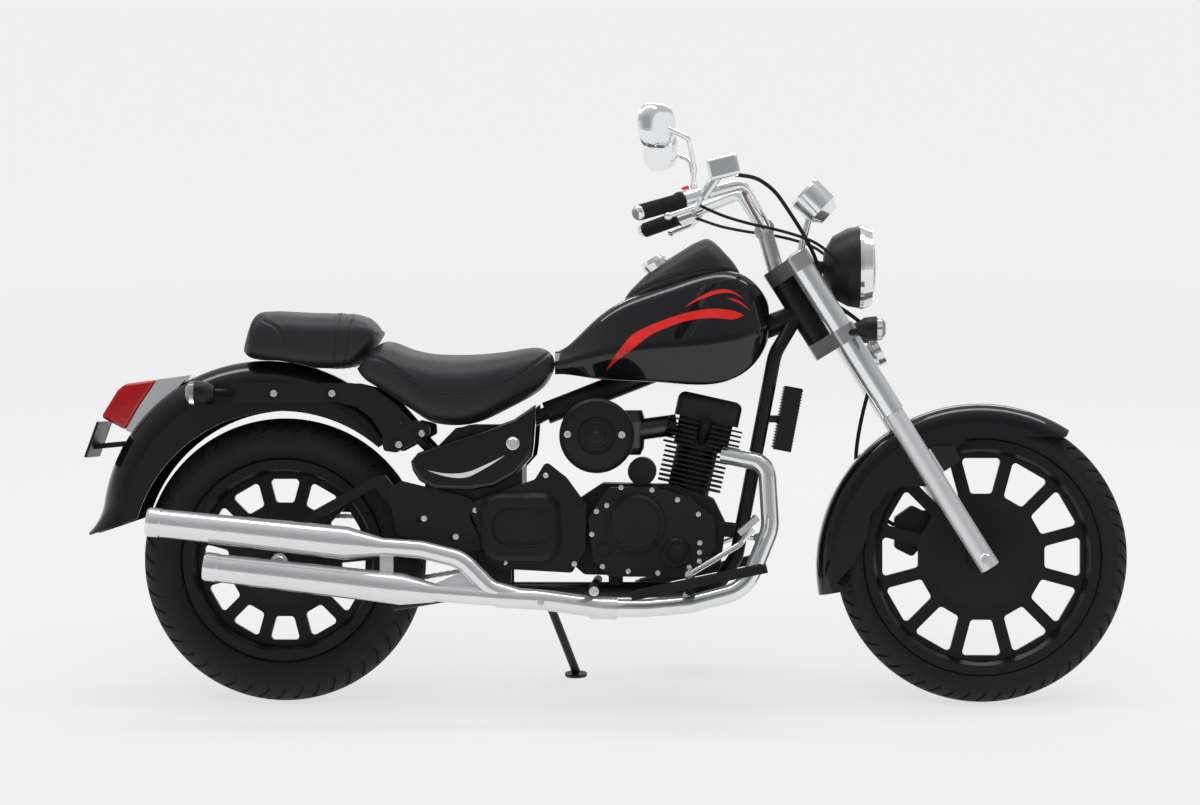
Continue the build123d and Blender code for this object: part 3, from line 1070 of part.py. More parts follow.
# Oil cooler in front of the down tubes
COOLER_HEIGHT = 647.0
COOLER_AHEAD = 57.0
COOLER_HALF_HEIGHT = 72.0
COOLER_DEPTH = 40.0
COOLER_HALF_WIDTH = 82.0
COOLER_MOUNT_RADIUS = 8.0
cooler_ends = [on_down_tube(COOLER_HEIGHT + COOLER_HALF_HEIGHT * side) for side in (-1, 1)]
cooler_low, cooler_high = [(x + COOLER_AHEAD, z) for x, z in cooler_ends]
cooler = flat_arm(cooler_low, cooler_high, COOLER_DEPTH / 2, COOLER_HALF_WIDTH, -COOLER_HALF_WIDTH)
mount_start = on_down_tube(COOLER_HEIGHT)
mount_end = (mount_start[0] + COOLER_AHEAD, mount_start[1])
cooler_mount = rod(
    across_bike(mount_start, CRADLE_SPREAD), across_bike(mount_end, CRADLE_SPREAD), COOLER_MOUNT_RADIUS
)
nodes["oil_cooler"] = main_body(cooler + both(cooler_mount) - frame)

# Floorboards, pedals and passenger pegs
BOARD_PIXELS = [(633.8, 590.2), (764.7, 562.8)]
BOARD_HALF_THICKNESS = 8.0
BOARD_OUTER = 300.0
BOARD_INNER = 200.0
BOARD_HANGER_X = 930.0
BOARD_HANGER_RISE = 14.0
BOARD_HANGER_RADIUS = 11.0
board_rear, board_front = seen(BOARD_PIXELS)
board = flat_arm(board_rear, board_front, BOARD_HALF_THICKNESS, BOARD_OUTER, BOARD_INNER)
board_hanger = rod(
    (BOARD_HANGER_X, CRADLE_SPREAD, RAIL_HEIGHT),
    (BOARD_HANGER_X, BOARD_OUTER - OVERRUN, RAIL_HEIGHT + BOARD_HANGER_RISE), BOARD_HANGER_RADIUS,
)
boards = both(board + board_hanger) - frame - nodes["exhaust_header"] - left_cover - right_cover - crankcase
nodes["floorboards"] = boards
PEDAL_RADIUS = 6.5
PEDAL_SPREAD = 188.0
PEDAL_BEND = 24.0
PEDAL_PIVOT_RADIUS = 9.0
BRAKE_PEDAL_ROUTE = [(689.2, 570.6, -1.0), (738.1, 541.4, -1.0), (752.0, 525.7, -1.0)]
BRAKE_PAD_PIXELS = [(738.1, 530.0), (756.4, 514.3)]
BRAKE_PAD_HALF_WIDTH = 37.0
BRAKE_PAD_HALF_THICKNESS = 7.0
pedal_points = routed(BRAKE_PEDAL_ROUTE, PEDAL_SPREAD)
pedal = pipe(pedal_points, PEDAL_RADIUS, PEDAL_BEND)
pad_low, pad_high = seen(BRAKE_PAD_PIXELS)
pad_right = -PEDAL_SPREAD - BRAKE_PAD_HALF_WIDTH
pedal_pad = flat_arm(pad_low, pad_high, BRAKE_PAD_HALF_THICKNESS, -PEDAL_SPREAD + BRAKE_PAD_HALF_WIDTH, pad_right)
pedal_pivot = rod(
    (pedal_points[0][0], -CRADLE_SPREAD, pedal_points[0][2]),
    (pedal_points[0][0], -PEDAL_SPREAD - PEDAL_RADIUS, pedal_points[0][2]), PEDAL_PIVOT_RADIUS,
)
brake_pedal = pedal + pedal_pad + pedal_pivot - right_cover - crankcase - frame
brake_pedal = brake_pedal - boards - nodes["exhaust_header"]

# Drive chain on the left: two straight runs and two arcs, with its guard
FRONT_SPROCKET_PIXEL = (546.2, 538.8)
FRONT_SPROCKET_RADIUS = 36.0
CHAIN_WIDTH = 13.0
CHAIN_HEIGHT = 12.0
FRONT_SPROCKET = seen([FRONT_SPROCKET_PIXEL])[0]


def belt(rear_radius, front_radius):
    """The loop round both sprockets, as a filled side-view face."""
    run = Vector(FRONT_SPROCKET[0], 0, FRONT_SPROCKET[1] - REAR_AXLE[2])
    tilt = math.atan2(run.Z, run.X)
    spread = math.acos((rear_radius - front_radius) / run.length)
    points = []
    for centre, radius in (((0, REAR_AXLE[2]), rear_radius), (FRONT_SPROCKET, front_radius)):
        for side in (1, -1):
            angle = tilt + side * spread
            points.append((centre[0] + radius * math.cos(angle), centre[1] + radius * math.sin(angle)))
    back = (-rear_radius * math.cos(tilt), REAR_AXLE[2] - rear_radius * math.sin(tilt))
    nose = (FRONT_SPROCKET[0] + front_radius * math.cos(tilt), FRONT_SPROCKET[1] + front_radius * math.sin(tilt))
    top_rear, low_rear, top_front, low_front = points
    return make_face(
        Line(top_rear, top_front) + ThreePointArc(top_front, nose, low_front)
        + Line(low_front, low_rear) + ThreePointArc(low_rear, back, top_rear)
    )


chain_plane = side_plane(SPROCKET_CENTRE + CHAIN_WIDTH / 2)
chain_inner = SPROCKET_RADIUS + SEAT_GAP
front_inner = FRONT_SPROCKET_RADIUS + SEAT_GAP
chain_face = belt(chain_inner + CHAIN_HEIGHT, front_inner + CHAIN_HEIGHT) - belt(chain_inner, front_inner)
chain = extrude(chain_plane * chain_face, amount=CHAIN_WIDTH)
sprocket_start = across_bike(FRONT_SPROCKET, CASE_HALF_WIDTH)
front_sprocket = rod(sprocket_start, across_bike(FRONT_SPROCKET, sprocket_left), FRONT_SPROCKET_RADIUS)
nodes["drive_chain"] = chain
nodes["front_sprocket"] = front_sprocket - crankcase

# Chain guard over the top run, on the swinging arm
GUARD_THICKNESS = 4.0
GUARD_HALF_HEIGHT = 16.0
GUARD_PIXELS = [(336.8, 506.5), (489.5, 513.5)]
guard_rear, guard_front = seen(GUARD_PIXELS)
guard_left = arm_right + GUARD_THICKNESS / 2
guard = flat_arm(guard_rear, guard_front, GUARD_HALF_HEIGHT, guard_left, guard_left - GUARD_THICKNESS)
nodes["swingarm"] = nodes["swingarm"] + (guard - chain - nodes["battery_box"] - frame)

# Gear pedal on the left, passenger pegs on the lower rails
GEAR_PEDAL_ROUTE = [(694.4, 557.1, 1.0), (738.1, 538.8, 1.0), (764.2, 541.4, 1.0)]
GEAR_PEG_PIXEL = (759.0, 540.9)
GEAR_PEG_LENGTH = 62.0
GEAR_PEG_RADIUS = 11.0
gear_points = routed(GEAR_PEDAL_ROUTE, PEDAL_SPREAD)
gear_pedal = pipe(gear_points, PEDAL_RADIUS, PEDAL_BEND)
gear_peg = rod(
    spot(GEAR_PEG_PIXEL, PEDAL_SPREAD - PEDAL_RADIUS), spot(GEAR_PEG_PIXEL, PEDAL_SPREAD + GEAR_PEG_LENGTH), GEAR_PEG_RADIUS
)
gear_pivot = rod(
    (gear_points[0][0], CRADLE_SPREAD, gear_points[0][2]),
    (gear_points[0][0], PEDAL_SPREAD + PEDAL_RADIUS, gear_points[0][2]), PEDAL_PIVOT_RADIUS,
)
nodes["foot_pedals"] = brake_pedal + (gear_pedal + gear_peg + gear_pivot - left_cover - crankcase - frame)
PEG_X = 712.0
PEG_RISE = 11.0
PEG_RADIUS = 10.0
PEG_END = 246.0
peg_height = RAIL_HEIGHT + PEG_RISE
peg = rod((PEG_X, CRADLE_SPREAD, peg_height), (PEG_X, PEG_END, peg_height), PEG_RADIUS)
nodes["passenger_pegs"] = both(peg) - frame - crankcase - left_cover - right_cover - nodes["exhaust_header"]

# Side stand on the left, folded out and resting on its stop
lean_angle = math.radians(LEAN)
STAND_PIVOT_X = 600.0
STAND_PIVOT_OUT = 36.0
STAND_PIVOT_DROP = 29.0
STAND_PIVOT = Vector(STAND_PIVOT_X, CRADLE_SPREAD + STAND_PIVOT_OUT, RAIL_HEIGHT - STAND_PIVOT_DROP)
STAND_AXIS_SHARES = (-0.18, 1.0, 0.29)
STAND_AXIS = Vector(*STAND_AXIS_SHARES).normalized()
STAND_PIN_RADIUS = 7.0
STAND_HUB_RADIUS = 15.0
STAND_HUB_HALF = 10.0
STAND_RADIUS = 10.0
STAND_FOOT_SPREAD = 238.0
STAND_FOOT_AHEAD = 60.0
STAND_FOOT_RADIUS = 26.0
STAND_FOOT_THICKNESS = 7.0


def tread_drop(radius, width, bead_radius):
    """How far the round tread comes down when the tyre leans."""
    half_tread = width / 2 * SHOULDER_WIDTH_SHARE
    drop = (radius - bead_radius) * SHOULDER_DROP_SHARE
    tread_radius = (half_tread**2 + drop**2) / (2 * drop)
    return tread_radius * (1 - math.cos(lean_angle))


front_drop = tread_drop(FRONT_TYRE_RADIUS, FRONT_TYRE_WIDTH, FRONT_BEAD_RADIUS)
rear_drop = tread_drop(REAR_TYRE_RADIUS, REAR_TYRE_WIDTH, REAR_BEAD_RADIUS)
foot_x = STAND_PIVOT.X + STAND_FOOT_AHEAD
ground_drop = rear_drop + (front_drop - rear_drop) * foot_x / WHEELBASE
ground_at_foot = STAND_FOOT_SPREAD * math.tan(lean_angle) - ground_drop / math.cos(lean_angle)
foot_centre = Vector(foot_x, STAND_FOOT_SPREAD, ground_at_foot)
ground_normal = Vector(0, -math.sin(lean_angle), math.cos(lean_angle))
foot_pad = rod(foot_centre, foot_centre + ground_normal * STAND_FOOT_THICKNESS, STAND_FOOT_RADIUS)
leg = rod(STAND_PIVOT, foot_centre + ground_normal * (STAND_RADIUS + SEAT_GAP), STAND_RADIUS)
hub_reach = STAND_AXIS * STAND_HUB_HALF
stand_hub = rod(STAND_PIVOT - hub_reach, STAND_PIVOT + hub_reach, STAND_HUB_RADIUS)
stand_bore = rod(STAND_PIVOT - hub_reach * 3, STAND_PIVOT + hub_reach * 3, STAND_PIN_RADIUS + PIN_CLEARANCE)
head_room = rod(STAND_PIVOT + hub_reach, STAND_PIVOT + hub_reach * 4, STAND_HUB_RADIUS * 0.8 + SEAT_GAP)
nodes["side_stand"] = leg + foot_pad + stand_hub - stand_bore - head_room
pin_reach = STAND_AXIS * (STAND_HUB_HALF + SEAT_GAP)
stand_pin = rod(STAND_PIVOT - pin_reach * 2, STAND_PIVOT + pin_reach * 1.4, STAND_PIN_RADIUS)
stand_head = rod(STAND_PIVOT + pin_reach, STAND_PIVOT + pin_reach * 1.6, STAND_HUB_RADIUS * 0.8)
stand_lug = rod(
    (STAND_PIVOT.X, CRADLE_SPREAD, RAIL_HEIGHT), STAND_PIVOT - pin_reach, STAND_HUB_RADIUS
)
lug_trim = rod(STAND_PIVOT - pin_reach, STAND_PIVOT + pin_reach * 3, STAND_HUB_RADIUS * 3)
nodes["frame"] = frame + (stand_lug - lug_trim) + stand_pin + stand_head

# Handlebar with risers on the upper clamp, placed from the front axle as all of the steering
RISER_SPREAD = 50.0
RISER_RADIUS = 17.0
RISER_CAP_HALF_WIDTH = 15.0
RISER_CAP_WALL = 9.0
# Pixel across, pixel down, and the share of the bar's half width
BAR_ROUTE = [(764.2, 230.0, 0.0), (764.2, 228.3, 0.238), (741.5, 189.9, 0.5), (706.7, 201.2, 0.725), (638.6, 223.0, 1.0)]
BAR_BENDS = [40.0, 55.0, 70.0]
bar_points = routed(BAR_ROUTE, BAR_HALF_WIDTH, FRONT_ANCHOR)
half_bar = pipe(bar_points, BAR_RADIUS, BAR_BENDS)
riser_foot = STEER_FOOT + FORK_UP * (UPPER_CLAMP_HEIGHT + CLAMP_THICKNESS * 0.9)
bar_middle = (bar_points[0][0], bar_points[0][2])
riser = rod((riser_foot.X, RISER_SPREAD, riser_foot.Z), across_bike(bar_middle, RISER_SPREAD), RISER_RADIUS)
cap_start = across_bike(bar_middle, RISER_SPREAD - RISER_CAP_HALF_WIDTH)
cap_end = across_bike(bar_middle, RISER_SPREAD + RISER_CAP_HALF_WIDTH)
riser_cap = rod(cap_start, cap_end, BAR_RADIUS + RISER_CAP_WALL)
nodes["handlebar"] = both(half_bar)
nodes["fork_clamps"] = nodes["fork_clamps"] + (both(riser + riser_cap) - nodes["handlebar"])

# Grips, switches, levers and the fluid reservoir
GRIP_LENGTH = 125.0
SWITCH_LENGTH = 42.0
SWITCH_RADIUS = 23.0
LEVER_RADIUS = 6.0
LEVER_BEND = 60.0
LEVER_ROOT_AHEAD = 24.0
LEVER_TIP_AHEAD = 62.0
LEVER_TIP_DROP = 8.0
LEVER_BOW = 22.0
PERCH_RADIUS = 12.0
grip_end = Vector(*bar_points[4])
grip_run = (grip_end - Vector(*bar_points[3])).normalized()
nodes["grips"] = both(rod(grip_end - grip_run * GRIP_LENGTH, grip_end, GRIP_RADIUS) - half_bar)
switch_end = grip_end - grip_run * (GRIP_LENGTH + SEAT_GAP)
switch_middle = switch_end - grip_run * SWITCH_LENGTH * 0.7
switch = rod(switch_end - grip_run * SWITCH_LENGTH, switch_end, SWITCH_RADIUS) - half_bar
lever_root = switch_end - grip_run * SWITCH_LENGTH * 0.66 + Vector(LEVER_ROOT_AHEAD, 0, 0)
lever_tip = grip_end - grip_run * LEVER_RADIUS * 2 + Vector(LEVER_TIP_AHEAD, 0, -LEVER_TIP_DROP)
lever_middle = (lever_root + lever_tip) * 0.5 + Vector(LEVER_BOW, 0, 0)
lever = pipe([lever_root, lever_middle, lever_tip], LEVER_RADIUS, LEVER_BEND)
perch = rod(switch_middle, lever_root, PERCH_RADIUS) - half_bar
RESERVOIR_SIZE = (70.0, 48.0, 48.0)
RESERVOIR_ROUND = 8.0
RESERVOIR_TILT = -14.0
RESERVOIR_PIXEL = (722.4, 176.4)
RESERVOIR_SPREAD = 305.0
MASTER_RADIUS = 11.0
reservoir_place = spot(RESERVOIR_PIXEL, RESERVOIR_SPREAD, FRONT_ANCHOR)
reservoir = Box(*RESERVOIR_SIZE)
reservoir = Pos(*reservoir_place) * Rot(0, RESERVOIR_TILT, 0) * fillet(reservoir.edges(), RESERVOIR_ROUND)
master = rod(lever_root, reservoir_place, MASTER_RADIUS)
controls = (switch + lever + perch) - half_bar
nodes["hand_controls"] = controls + other_side(controls + reservoir + master - half_bar)

# Mirrors on stalks: a rounded shell turned in towards the rider, with its glass
MIRROR_PIXEL = (656.1, 138.4)
MIRROR_SPREAD = 362.0
MIRROR_SIZE = (112.0, 100.0)
MIRROR_CORNER = 42.0
MIRROR_DEPTH = 28.0
MIRROR_TURN = 38.0
MIRROR_RIM = 3.0
MIRROR_STALK_RADIUS = 5.5
MIRROR_STALK_BEND = 24.0
# Pixel across, pixel down, and the share of the mirrors' spread
MIRROR_STALK_ROUTE = [(692.3, 197.3, 0.865), (694.9, 179.0, 0.881), (689.2, 149.8, 0.972), (661.3, 137.5, 1.011)]
mirror_centre = spot(MIRROR_PIXEL, MIRROR_SPREAD, FRONT_ANCHOR)
mirror_place = Pos(*mirror_centre) * Rot(0, 0, 180 + MIRROR_TURN) * Rot(0, 90, 0) * Rot(0, 0, 90)
mirror_shell = extrude(RectangleRounded(*MIRROR_SIZE, MIRROR_CORNER), amount=-MIRROR_DEPTH)
mirror_shell = fillet(mirror_shell.faces().sort_by(Axis.Z)[0].edges(), MIRROR_DEPTH * 0.8)
glass_size = [side - MIRROR_RIM * 2 for side in MIRROR_SIZE]
mirror_glass = extrude(RectangleRounded(*glass_size, MIRROR_CORNER - MIRROR_RIM), amount=-MIRROR_RIM)
mirror_shell = mirror_place * (mirror_shell - mirror_glass)
nodes["mirror_glass"] = both(mirror_place * mirror_glass)
stalk_points = routed(MIRROR_STALK_ROUTE, MIRROR_SPREAD, FRONT_ANCHOR)
stalk = pipe(stalk_points, MIRROR_STALK_RADIUS, MIRROR_STALK_BEND)
nodes["mirrors"] = both(mirror_shell + (stalk - mirror_place * mirror_glass)) - nodes["hand_controls"]

# Speedometer over the upper clamp, facing back and up
SPEEDO_PIXELS = [(802.6, 191.6), (828.8, 216.0)]
SPEEDO_ARM_PIXEL = (812.2, 203.8)
SPEEDO_ARM_RADIUS = 8.0
SPEEDO_RADIUS = 42.0
SPEEDO_RIM = 6.0
speedo_face, speedo_back = [Vector(*spot(pixel, 0, FRONT_ANCHOR)) for pixel in SPEEDO_PIXELS]
speedo_run = speedo_back - speedo_face
speedo_profile = [
    (0, SPEEDO_RIM / 2), (SPEEDO_RADIUS * 0.9, SPEEDO_RIM / 2), (SPEEDO_RADIUS * 0.92, 0), (SPEEDO_RADIUS, SPEEDO_RIM),
    (SPEEDO_RADIUS * 0.96, speedo_run.length * 0.73), (SPEEDO_RADIUS * 0.6, speedo_run.length), (0, speedo_run.length),
]
speedometer = lathe(speedo_profile, speedo_face, speedo_run)
speedo_foot = STEER_FOOT + FORK_FORWARD * FORK_AHEAD + FORK_UP * (UPPER_CLAMP_HEIGHT + CLAMP_THICKNESS / 2)
speedo_arm = rod(speedo_foot, spot(SPEEDO_ARM_PIXEL, 0, FRONT_ANCHOR), SPEEDO_ARM_RADIUS)
nodes["speedometer"] = speedometer + speedo_arm - nodes["fork_clamps"]

# Headlight: hollow shell, reflector with its bulb, ring and glass
LAMP_PIXEL = (858.9, 267.5)
LAMP_RADIUS = 94.0
LAMP_DEPTH = 85.0
LAMP_WALL = 3.0
RING_LENGTH = 28.0
GLASS_RISE = 12.0
BULB_RADIUS = 8.0
LAMP_ARM_PIXELS = [(807.8, 264.9), (829.6, 269.3)]
LAMP_ARM_RADIUS = 14.0
lamp_centre = seen([LAMP_PIXEL], FRONT_ANCHOR)[0]
lamp_back = (lamp_centre[0] - LAMP_DEPTH, 0, lamp_centre[1])
SHELL_SHARES = [(0.0, 0.0), (0.4, 0.05), (0.75, 0.28), (0.95, 0.68), (1.0, 1.0)]
REFLECTOR_SHARES = [(0.0, 0.25), (0.45, 0.4), (0.75, 0.7), (0.9, 1.0)]


def bowl(shares, radius, depth):
    """A filled bowl on the lamp's axis, opening forward."""
    profile = [(out * radius, along * depth) for out, along in shares]
    return lathe(profile + [(0, depth)], lamp_back, (1, 0, 0))


lamp_body = bowl(SHELL_SHARES, LAMP_RADIUS, LAMP_DEPTH)
wall_shift = Pos(LAMP_WALL, 0, 0)
shell = lamp_body - wall_shift * bowl(SHELL_SHARES, LAMP_RADIUS - LAMP_WALL, LAMP_DEPTH)
lamp_arm_start, lamp_arm_end = [spot(pixel, 0, FRONT_ANCHOR) for pixel in LAMP_ARM_PIXELS]
lamp_arm = rod(lamp_arm_start, lamp_arm_end, LAMP_ARM_RADIUS) - lamp_body
nodes["headlight_shell"] = shell + lamp_arm - nodes["fork_clamps"]
reflector_hollow = wall_shift * bowl(REFLECTOR_SHARES, LAMP_RADIUS - LAMP_WALL, LAMP_DEPTH)
reflector = bowl(REFLECTOR_SHARES, LAMP_RADIUS, LAMP_DEPTH) - reflector_hollow
bulb_start = Vector(*lamp_back) + Vector(LAMP_DEPTH * 0.26, 0, 0)
bulb = rod(bulb_start, bulb_start + Vector(LAMP_DEPTH * 0.4, 0, 0), BULB_RADIUS)
nodes["headlight_reflector"] = reflector + bulb
glass_radius = LAMP_RADIUS * 0.85
ring_radius = LAMP_RADIUS * 1.02
ring_end = LAMP_DEPTH + RING_LENGTH
ring_profile = [
    (glass_radius, LAMP_DEPTH), (ring_radius, LAMP_DEPTH), (ring_radius, LAMP_DEPTH + RING_LENGTH * 0.3),
    (LAMP_RADIUS * 0.94, ring_end), (glass_radius, ring_end),
]
nodes["headlight_ring"] = lathe(ring_profile, lamp_back, (1, 0, 0))
GLASS_SHARES = [(1.0, 0.55), (0.7, 0.85), (0.0, 1.0)]
glass_height = RING_LENGTH + GLASS_RISE
outer_glass = [(out * glass_radius, LAMP_DEPTH + along * glass_height) for out, along in GLASS_SHARES]
inner_radius = glass_radius - LAMP_WALL
inner_glass = [(out * inner_radius, LAMP_DEPTH + along * glass_height - LAMP_WALL) for out, along in GLASS_SHARES]
glass_profile = [(glass_radius, LAMP_DEPTH)] + outer_glass + inner_glass[::-1] + [(inner_radius, LAMP_DEPTH)]
nodes["headlight_glass"] = lathe(glass_profile, lamp_back, (1, 0, 0))

# Front indicators and horn
FRONT_INDICATOR_PIXEL = (853.2, 330.3)
FRONT_INDICATOR_SPREAD = 172.0
FRONT_STALK_PIXEL = (861.9, 330.3)
FRONT_STALK_RADIUS = 8.0
front_body, front_lens = indicator(spot(FRONT_INDICATOR_PIXEL, FRONT_INDICATOR_SPREAD, FRONT_ANCHOR), (1, 0, 0))
clamp_place = STEER_FOOT + FORK_FORWARD * FORK_AHEAD + FORK_UP * (LOWER_CLAMP_HEIGHT + CLAMP_THICKNESS / 2)
front_stalk_end = spot(FRONT_STALK_PIXEL, FRONT_INDICATOR_SPREAD, FRONT_ANCHOR)
front_stalk = rod((clamp_place.X, FORK_SPREAD, clamp_place.Z), front_stalk_end, FRONT_STALK_RADIUS)
nodes["front_indicators"] = both(front_body + front_stalk) - nodes["fork_clamps"] - nodes["fork_covers"]
nodes["front_indicator_lenses"] = both(front_lens)
HORN_PIXEL = (868.9, 356.5)
HORN_RADIUS = 32.0
HORN_DEPTH = 34.0
HORN_SHARES = [(0.0, 0.0), (0.62, 0.0), (0.97, 0.41), (1.0, 0.88), (0.0, 1.0)]
HORN_FACING = (0.9, 0, 0.44)
HORN_ARM_PIXELS = [(847.1, 342.5), (873.2, 354.3)]
HORN_ARM_RADIUS = 5.0
horn_profile = [(out * HORN_RADIUS, along * HORN_DEPTH) for out, along in HORN_SHARES]
horn = lathe(horn_profile, spot(HORN_PIXEL, 0, FRONT_ANCHOR), HORN_FACING)
horn_arm_start, horn_arm_end = [spot(pixel, 0, FRONT_ANCHOR) for pixel in HORN_ARM_PIXELS]
horn_arm = rod(horn_arm_start, horn_arm_end, HORN_ARM_RADIUS)
nodes["horn"] = horn + horn_arm - nodes["fork_clamps"]

# Brake caliper on the left slider, straddling the disc
CALIPER_PIXELS = [(895.1, 548.4), (912.5, 557.1), (929.1, 538.8), (929.1, 513.5), (912.5, 505.6), (895.1, 517.8)]
CALIPER_ROUND = 10.0
CALIPER_LEFT_DEPTH = 26.0
CALIPER_RIGHT_DEPTH = 14.0
CALIPER_ARM_PIXELS = [(916.9, 517.8), (951.7, 513.5)]
CALIPER_ARM_HALF_HEIGHT = 12.0
CALIPER_ARM_SHARE = 0.25
DISC_SIDE_GAP = 3.0
disc_left = disc_face + BRAKE_DISC_THICKNESS
caliper_left = disc_left + CALIPER_LEFT_DEPTH
caliper_right = disc_face - CALIPER_RIGHT_DEPTH
caliper = slab(seen(CALIPER_PIXELS, FRONT_ANCHOR), caliper_left, caliper_right, CALIPER_ROUND)
disc_room = rod(
    (WHEELBASE, disc_face - DISC_SIDE_GAP, FRONT_AXLE[2]), (WHEELBASE, disc_left + DISC_SIDE_GAP, FRONT_AXLE[2]),
    BRAKE_DISC_RADIUS + MOVING_GAP,
)
arm_rear, arm_ahead = seen(CALIPER_ARM_PIXELS, FRONT_ANCHOR)
arm_inner = caliper_left - CALIPER_LEFT_DEPTH * CALIPER_ARM_SHARE
arm_outer = FORK_SPREAD + FORK_SLIDER_RADIUS * CALIPER_ARM_SHARE
caliper_arm = flat_arm(arm_rear, arm_ahead, CALIPER_ARM_HALF_HEIGHT, arm_outer, arm_inner)
nodes["brake_caliper"] = caliper - disc_room + caliper_arm - nodes["fork_sliders"]

# Fender stays join the fender to the sliders
STAY_PLATE_PIXELS = [(936.9, 472.5), (956.1, 460.3), (950.9, 444.6), (927.3, 446.3), (915.1, 464.6)]
STAY_PLATE_ROUND = 6.0
stay_low = FRONT_FENDER_HALF_WIDTH + SEAT_GAP
fender_stay = slab(seen(STAY_PLATE_PIXELS, FRONT_ANCHOR), FORK_SPREAD, stay_low, STAY_PLATE_ROUND)
nodes["fork_sliders"] = nodes["fork_sliders"] + both(fender_stay)

# Control cables and hose, held at both ends, all on the steering
CABLE_BEND_SHARE = 0.45
HOSE_RADIUS = 4.5
CABLE_RADIUS = 3.5


def cable(points, radius):
    """A held cable: straight runs joined by arcs as large as their runs allow."""
    spots = [Vector(*point) for point in points]
    bends = []
    for before, corner, after in zip(spots, spots[1:], spots[2:]):
        first = corner - before
        second = after - corner
        turn = math.radians(first.get_angle(second))
        shorter = min(first.length, second.length)
        bends.append(CABLE_BEND_SHARE * shorter / math.tan(turn / 2))
    print("cable bend radii", [round(bend) for bend in bends])
    return pipe(points, radius, bends)


# Pixel across, pixel down, and the share of the bar's half width to the left
BRAKE_HOSE_ROUTE = [
    (733.7, 182.0, -0.655), (754.6, 183.8, -0.565), (772.9, 195.1, -0.44), (788.6, 216.0, -0.31), (803.5, 237.9, -0.21),
    (815.2, 260.5, -0.145), (821.8, 284.5, -0.1), (832.3, 303.3, -0.035), (849.7, 313.7, 0.06), (867.1, 326.8, 0.12),
    (875.9, 352.1, 0.145), (873.2, 378.3, 0.155), (865.8, 404.4, 0.18), (860.2, 430.6, 0.2025), (856.7, 456.8, 0.205),
    (858.4, 482.9, 0.205), (868.9, 504.8, 0.195), (882.8, 517.8, 0.17), (895.1, 525.7, 0.15),
]
brake_hose = cable(routed(BRAKE_HOSE_ROUTE, BAR_HALF_WIDTH, FRONT_ANCHOR), HOSE_RADIUS)
nodes["brake_hose"] = brake_hose - nodes["hand_controls"] - nodes["brake_caliper"] - nodes["fork_clamps"]
CONTROL_CABLE_ROUTE = [
    (697.1, 211.7, 0.755), (720.6, 221.3, 0.625), (746.8, 227.8, 0.475), (772.9, 232.2, 0.35), (795.6, 237.9, 0.2875),
    (814.8, 244.8, 0.245), (829.6, 256.2, 0.21), (840.5, 267.5, 0.17),
]
control_cable = cable(routed(CONTROL_CABLE_ROUTE, BAR_HALF_WIDTH, FRONT_ANCHOR), CABLE_RADIUS)
nodes["control_cables"] = both(main_body(control_cable - controls - half_bar - lamp_body))

# Leaning onto the stand: the top goes to the left, and the tyres' lowest points come to z = 0
parked = Rot(-LEAN, 0, 0)
leaning = {name: parked * piece for name, piece in nodes.items()}
boxes = [piece.bounding_box() for piece in leaning.values()]
low = Vector(min(b.min.X for b in boxes), min(b.min.Y for b in boxes), min(b.min.Z for b in boxes))
high = Vector(max(b.max.X for b in boxes), max(b.max.Y for b in boxes), max(b.max.Z for b in boxes))
to_origin = Pos(-(low.X + high.X) / 2, -(low.Y + high.Y) / 2, -low.Z)
row_place = to_origin * parked

os.makedirs("parts", exist_ok=True)
for name, piece in leaning.items():
    export_step(to_origin * piece, f"parts/{name}.step")
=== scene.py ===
import bpy
import bmesh
import json
import math
from mathutils import Matrix, Vector
from mathutils.bvhtree import BVHTree


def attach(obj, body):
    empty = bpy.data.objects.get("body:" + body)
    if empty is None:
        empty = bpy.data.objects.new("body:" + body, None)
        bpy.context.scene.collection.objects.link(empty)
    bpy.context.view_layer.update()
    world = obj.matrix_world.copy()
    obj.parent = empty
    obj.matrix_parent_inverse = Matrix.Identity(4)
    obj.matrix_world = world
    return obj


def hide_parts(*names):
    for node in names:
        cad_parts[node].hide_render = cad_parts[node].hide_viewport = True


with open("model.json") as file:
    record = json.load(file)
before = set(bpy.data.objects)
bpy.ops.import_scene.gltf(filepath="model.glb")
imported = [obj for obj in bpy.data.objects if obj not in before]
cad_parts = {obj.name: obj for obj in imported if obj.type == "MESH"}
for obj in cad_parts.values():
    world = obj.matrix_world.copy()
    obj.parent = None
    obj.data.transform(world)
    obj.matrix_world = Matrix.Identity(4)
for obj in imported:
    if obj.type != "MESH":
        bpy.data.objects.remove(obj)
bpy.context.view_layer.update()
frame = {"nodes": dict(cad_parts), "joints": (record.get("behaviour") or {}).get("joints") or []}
nodes = frame["nodes"]

# The upright motorcycle, in millimetres from under the rear axle, set in the row frame
joints = {joint["name"]: joint for joint in frame["joints"]}
BIKE_LEFT = Vector(joints["rear_wheel_spin"]["axis"]).normalized()
BIKE_FORWARD = Vector((1, 0, 0))
BIKE_UP = BIKE_FORWARD.cross(BIKE_LEFT)
REAR_RADIUS = 324.0
FRONT_RADIUS = 332.0
WHEELBASE = 1595.0
FORK_SPREAD = 105.0
REAR_AXLE = Vector(joints["rear_wheel_spin"]["pos_m"])
FRONT_AXLE = Vector(joints["front_wheel_spin"]["pos_m"])
STEER_UP = Vector(joints["steering"]["axis"]).normalized()
GROUND = REAR_AXLE - BIKE_UP * REAR_RADIUS / 1000

MM = 0.001
PLACE = Matrix([
    *[(BIKE_FORWARD[k] * MM, BIKE_LEFT[k] * MM, BIKE_UP[k] * MM, GROUND[k]) for k in range(3)],
    (0, 0, 0, 1),
])
UNPLACE = PLACE.inverted()


def at(x, y, z):
    """A point of the upright motorcycle, in millimetres, in the row frame."""
    return PLACE @ Vector((x, y, z))


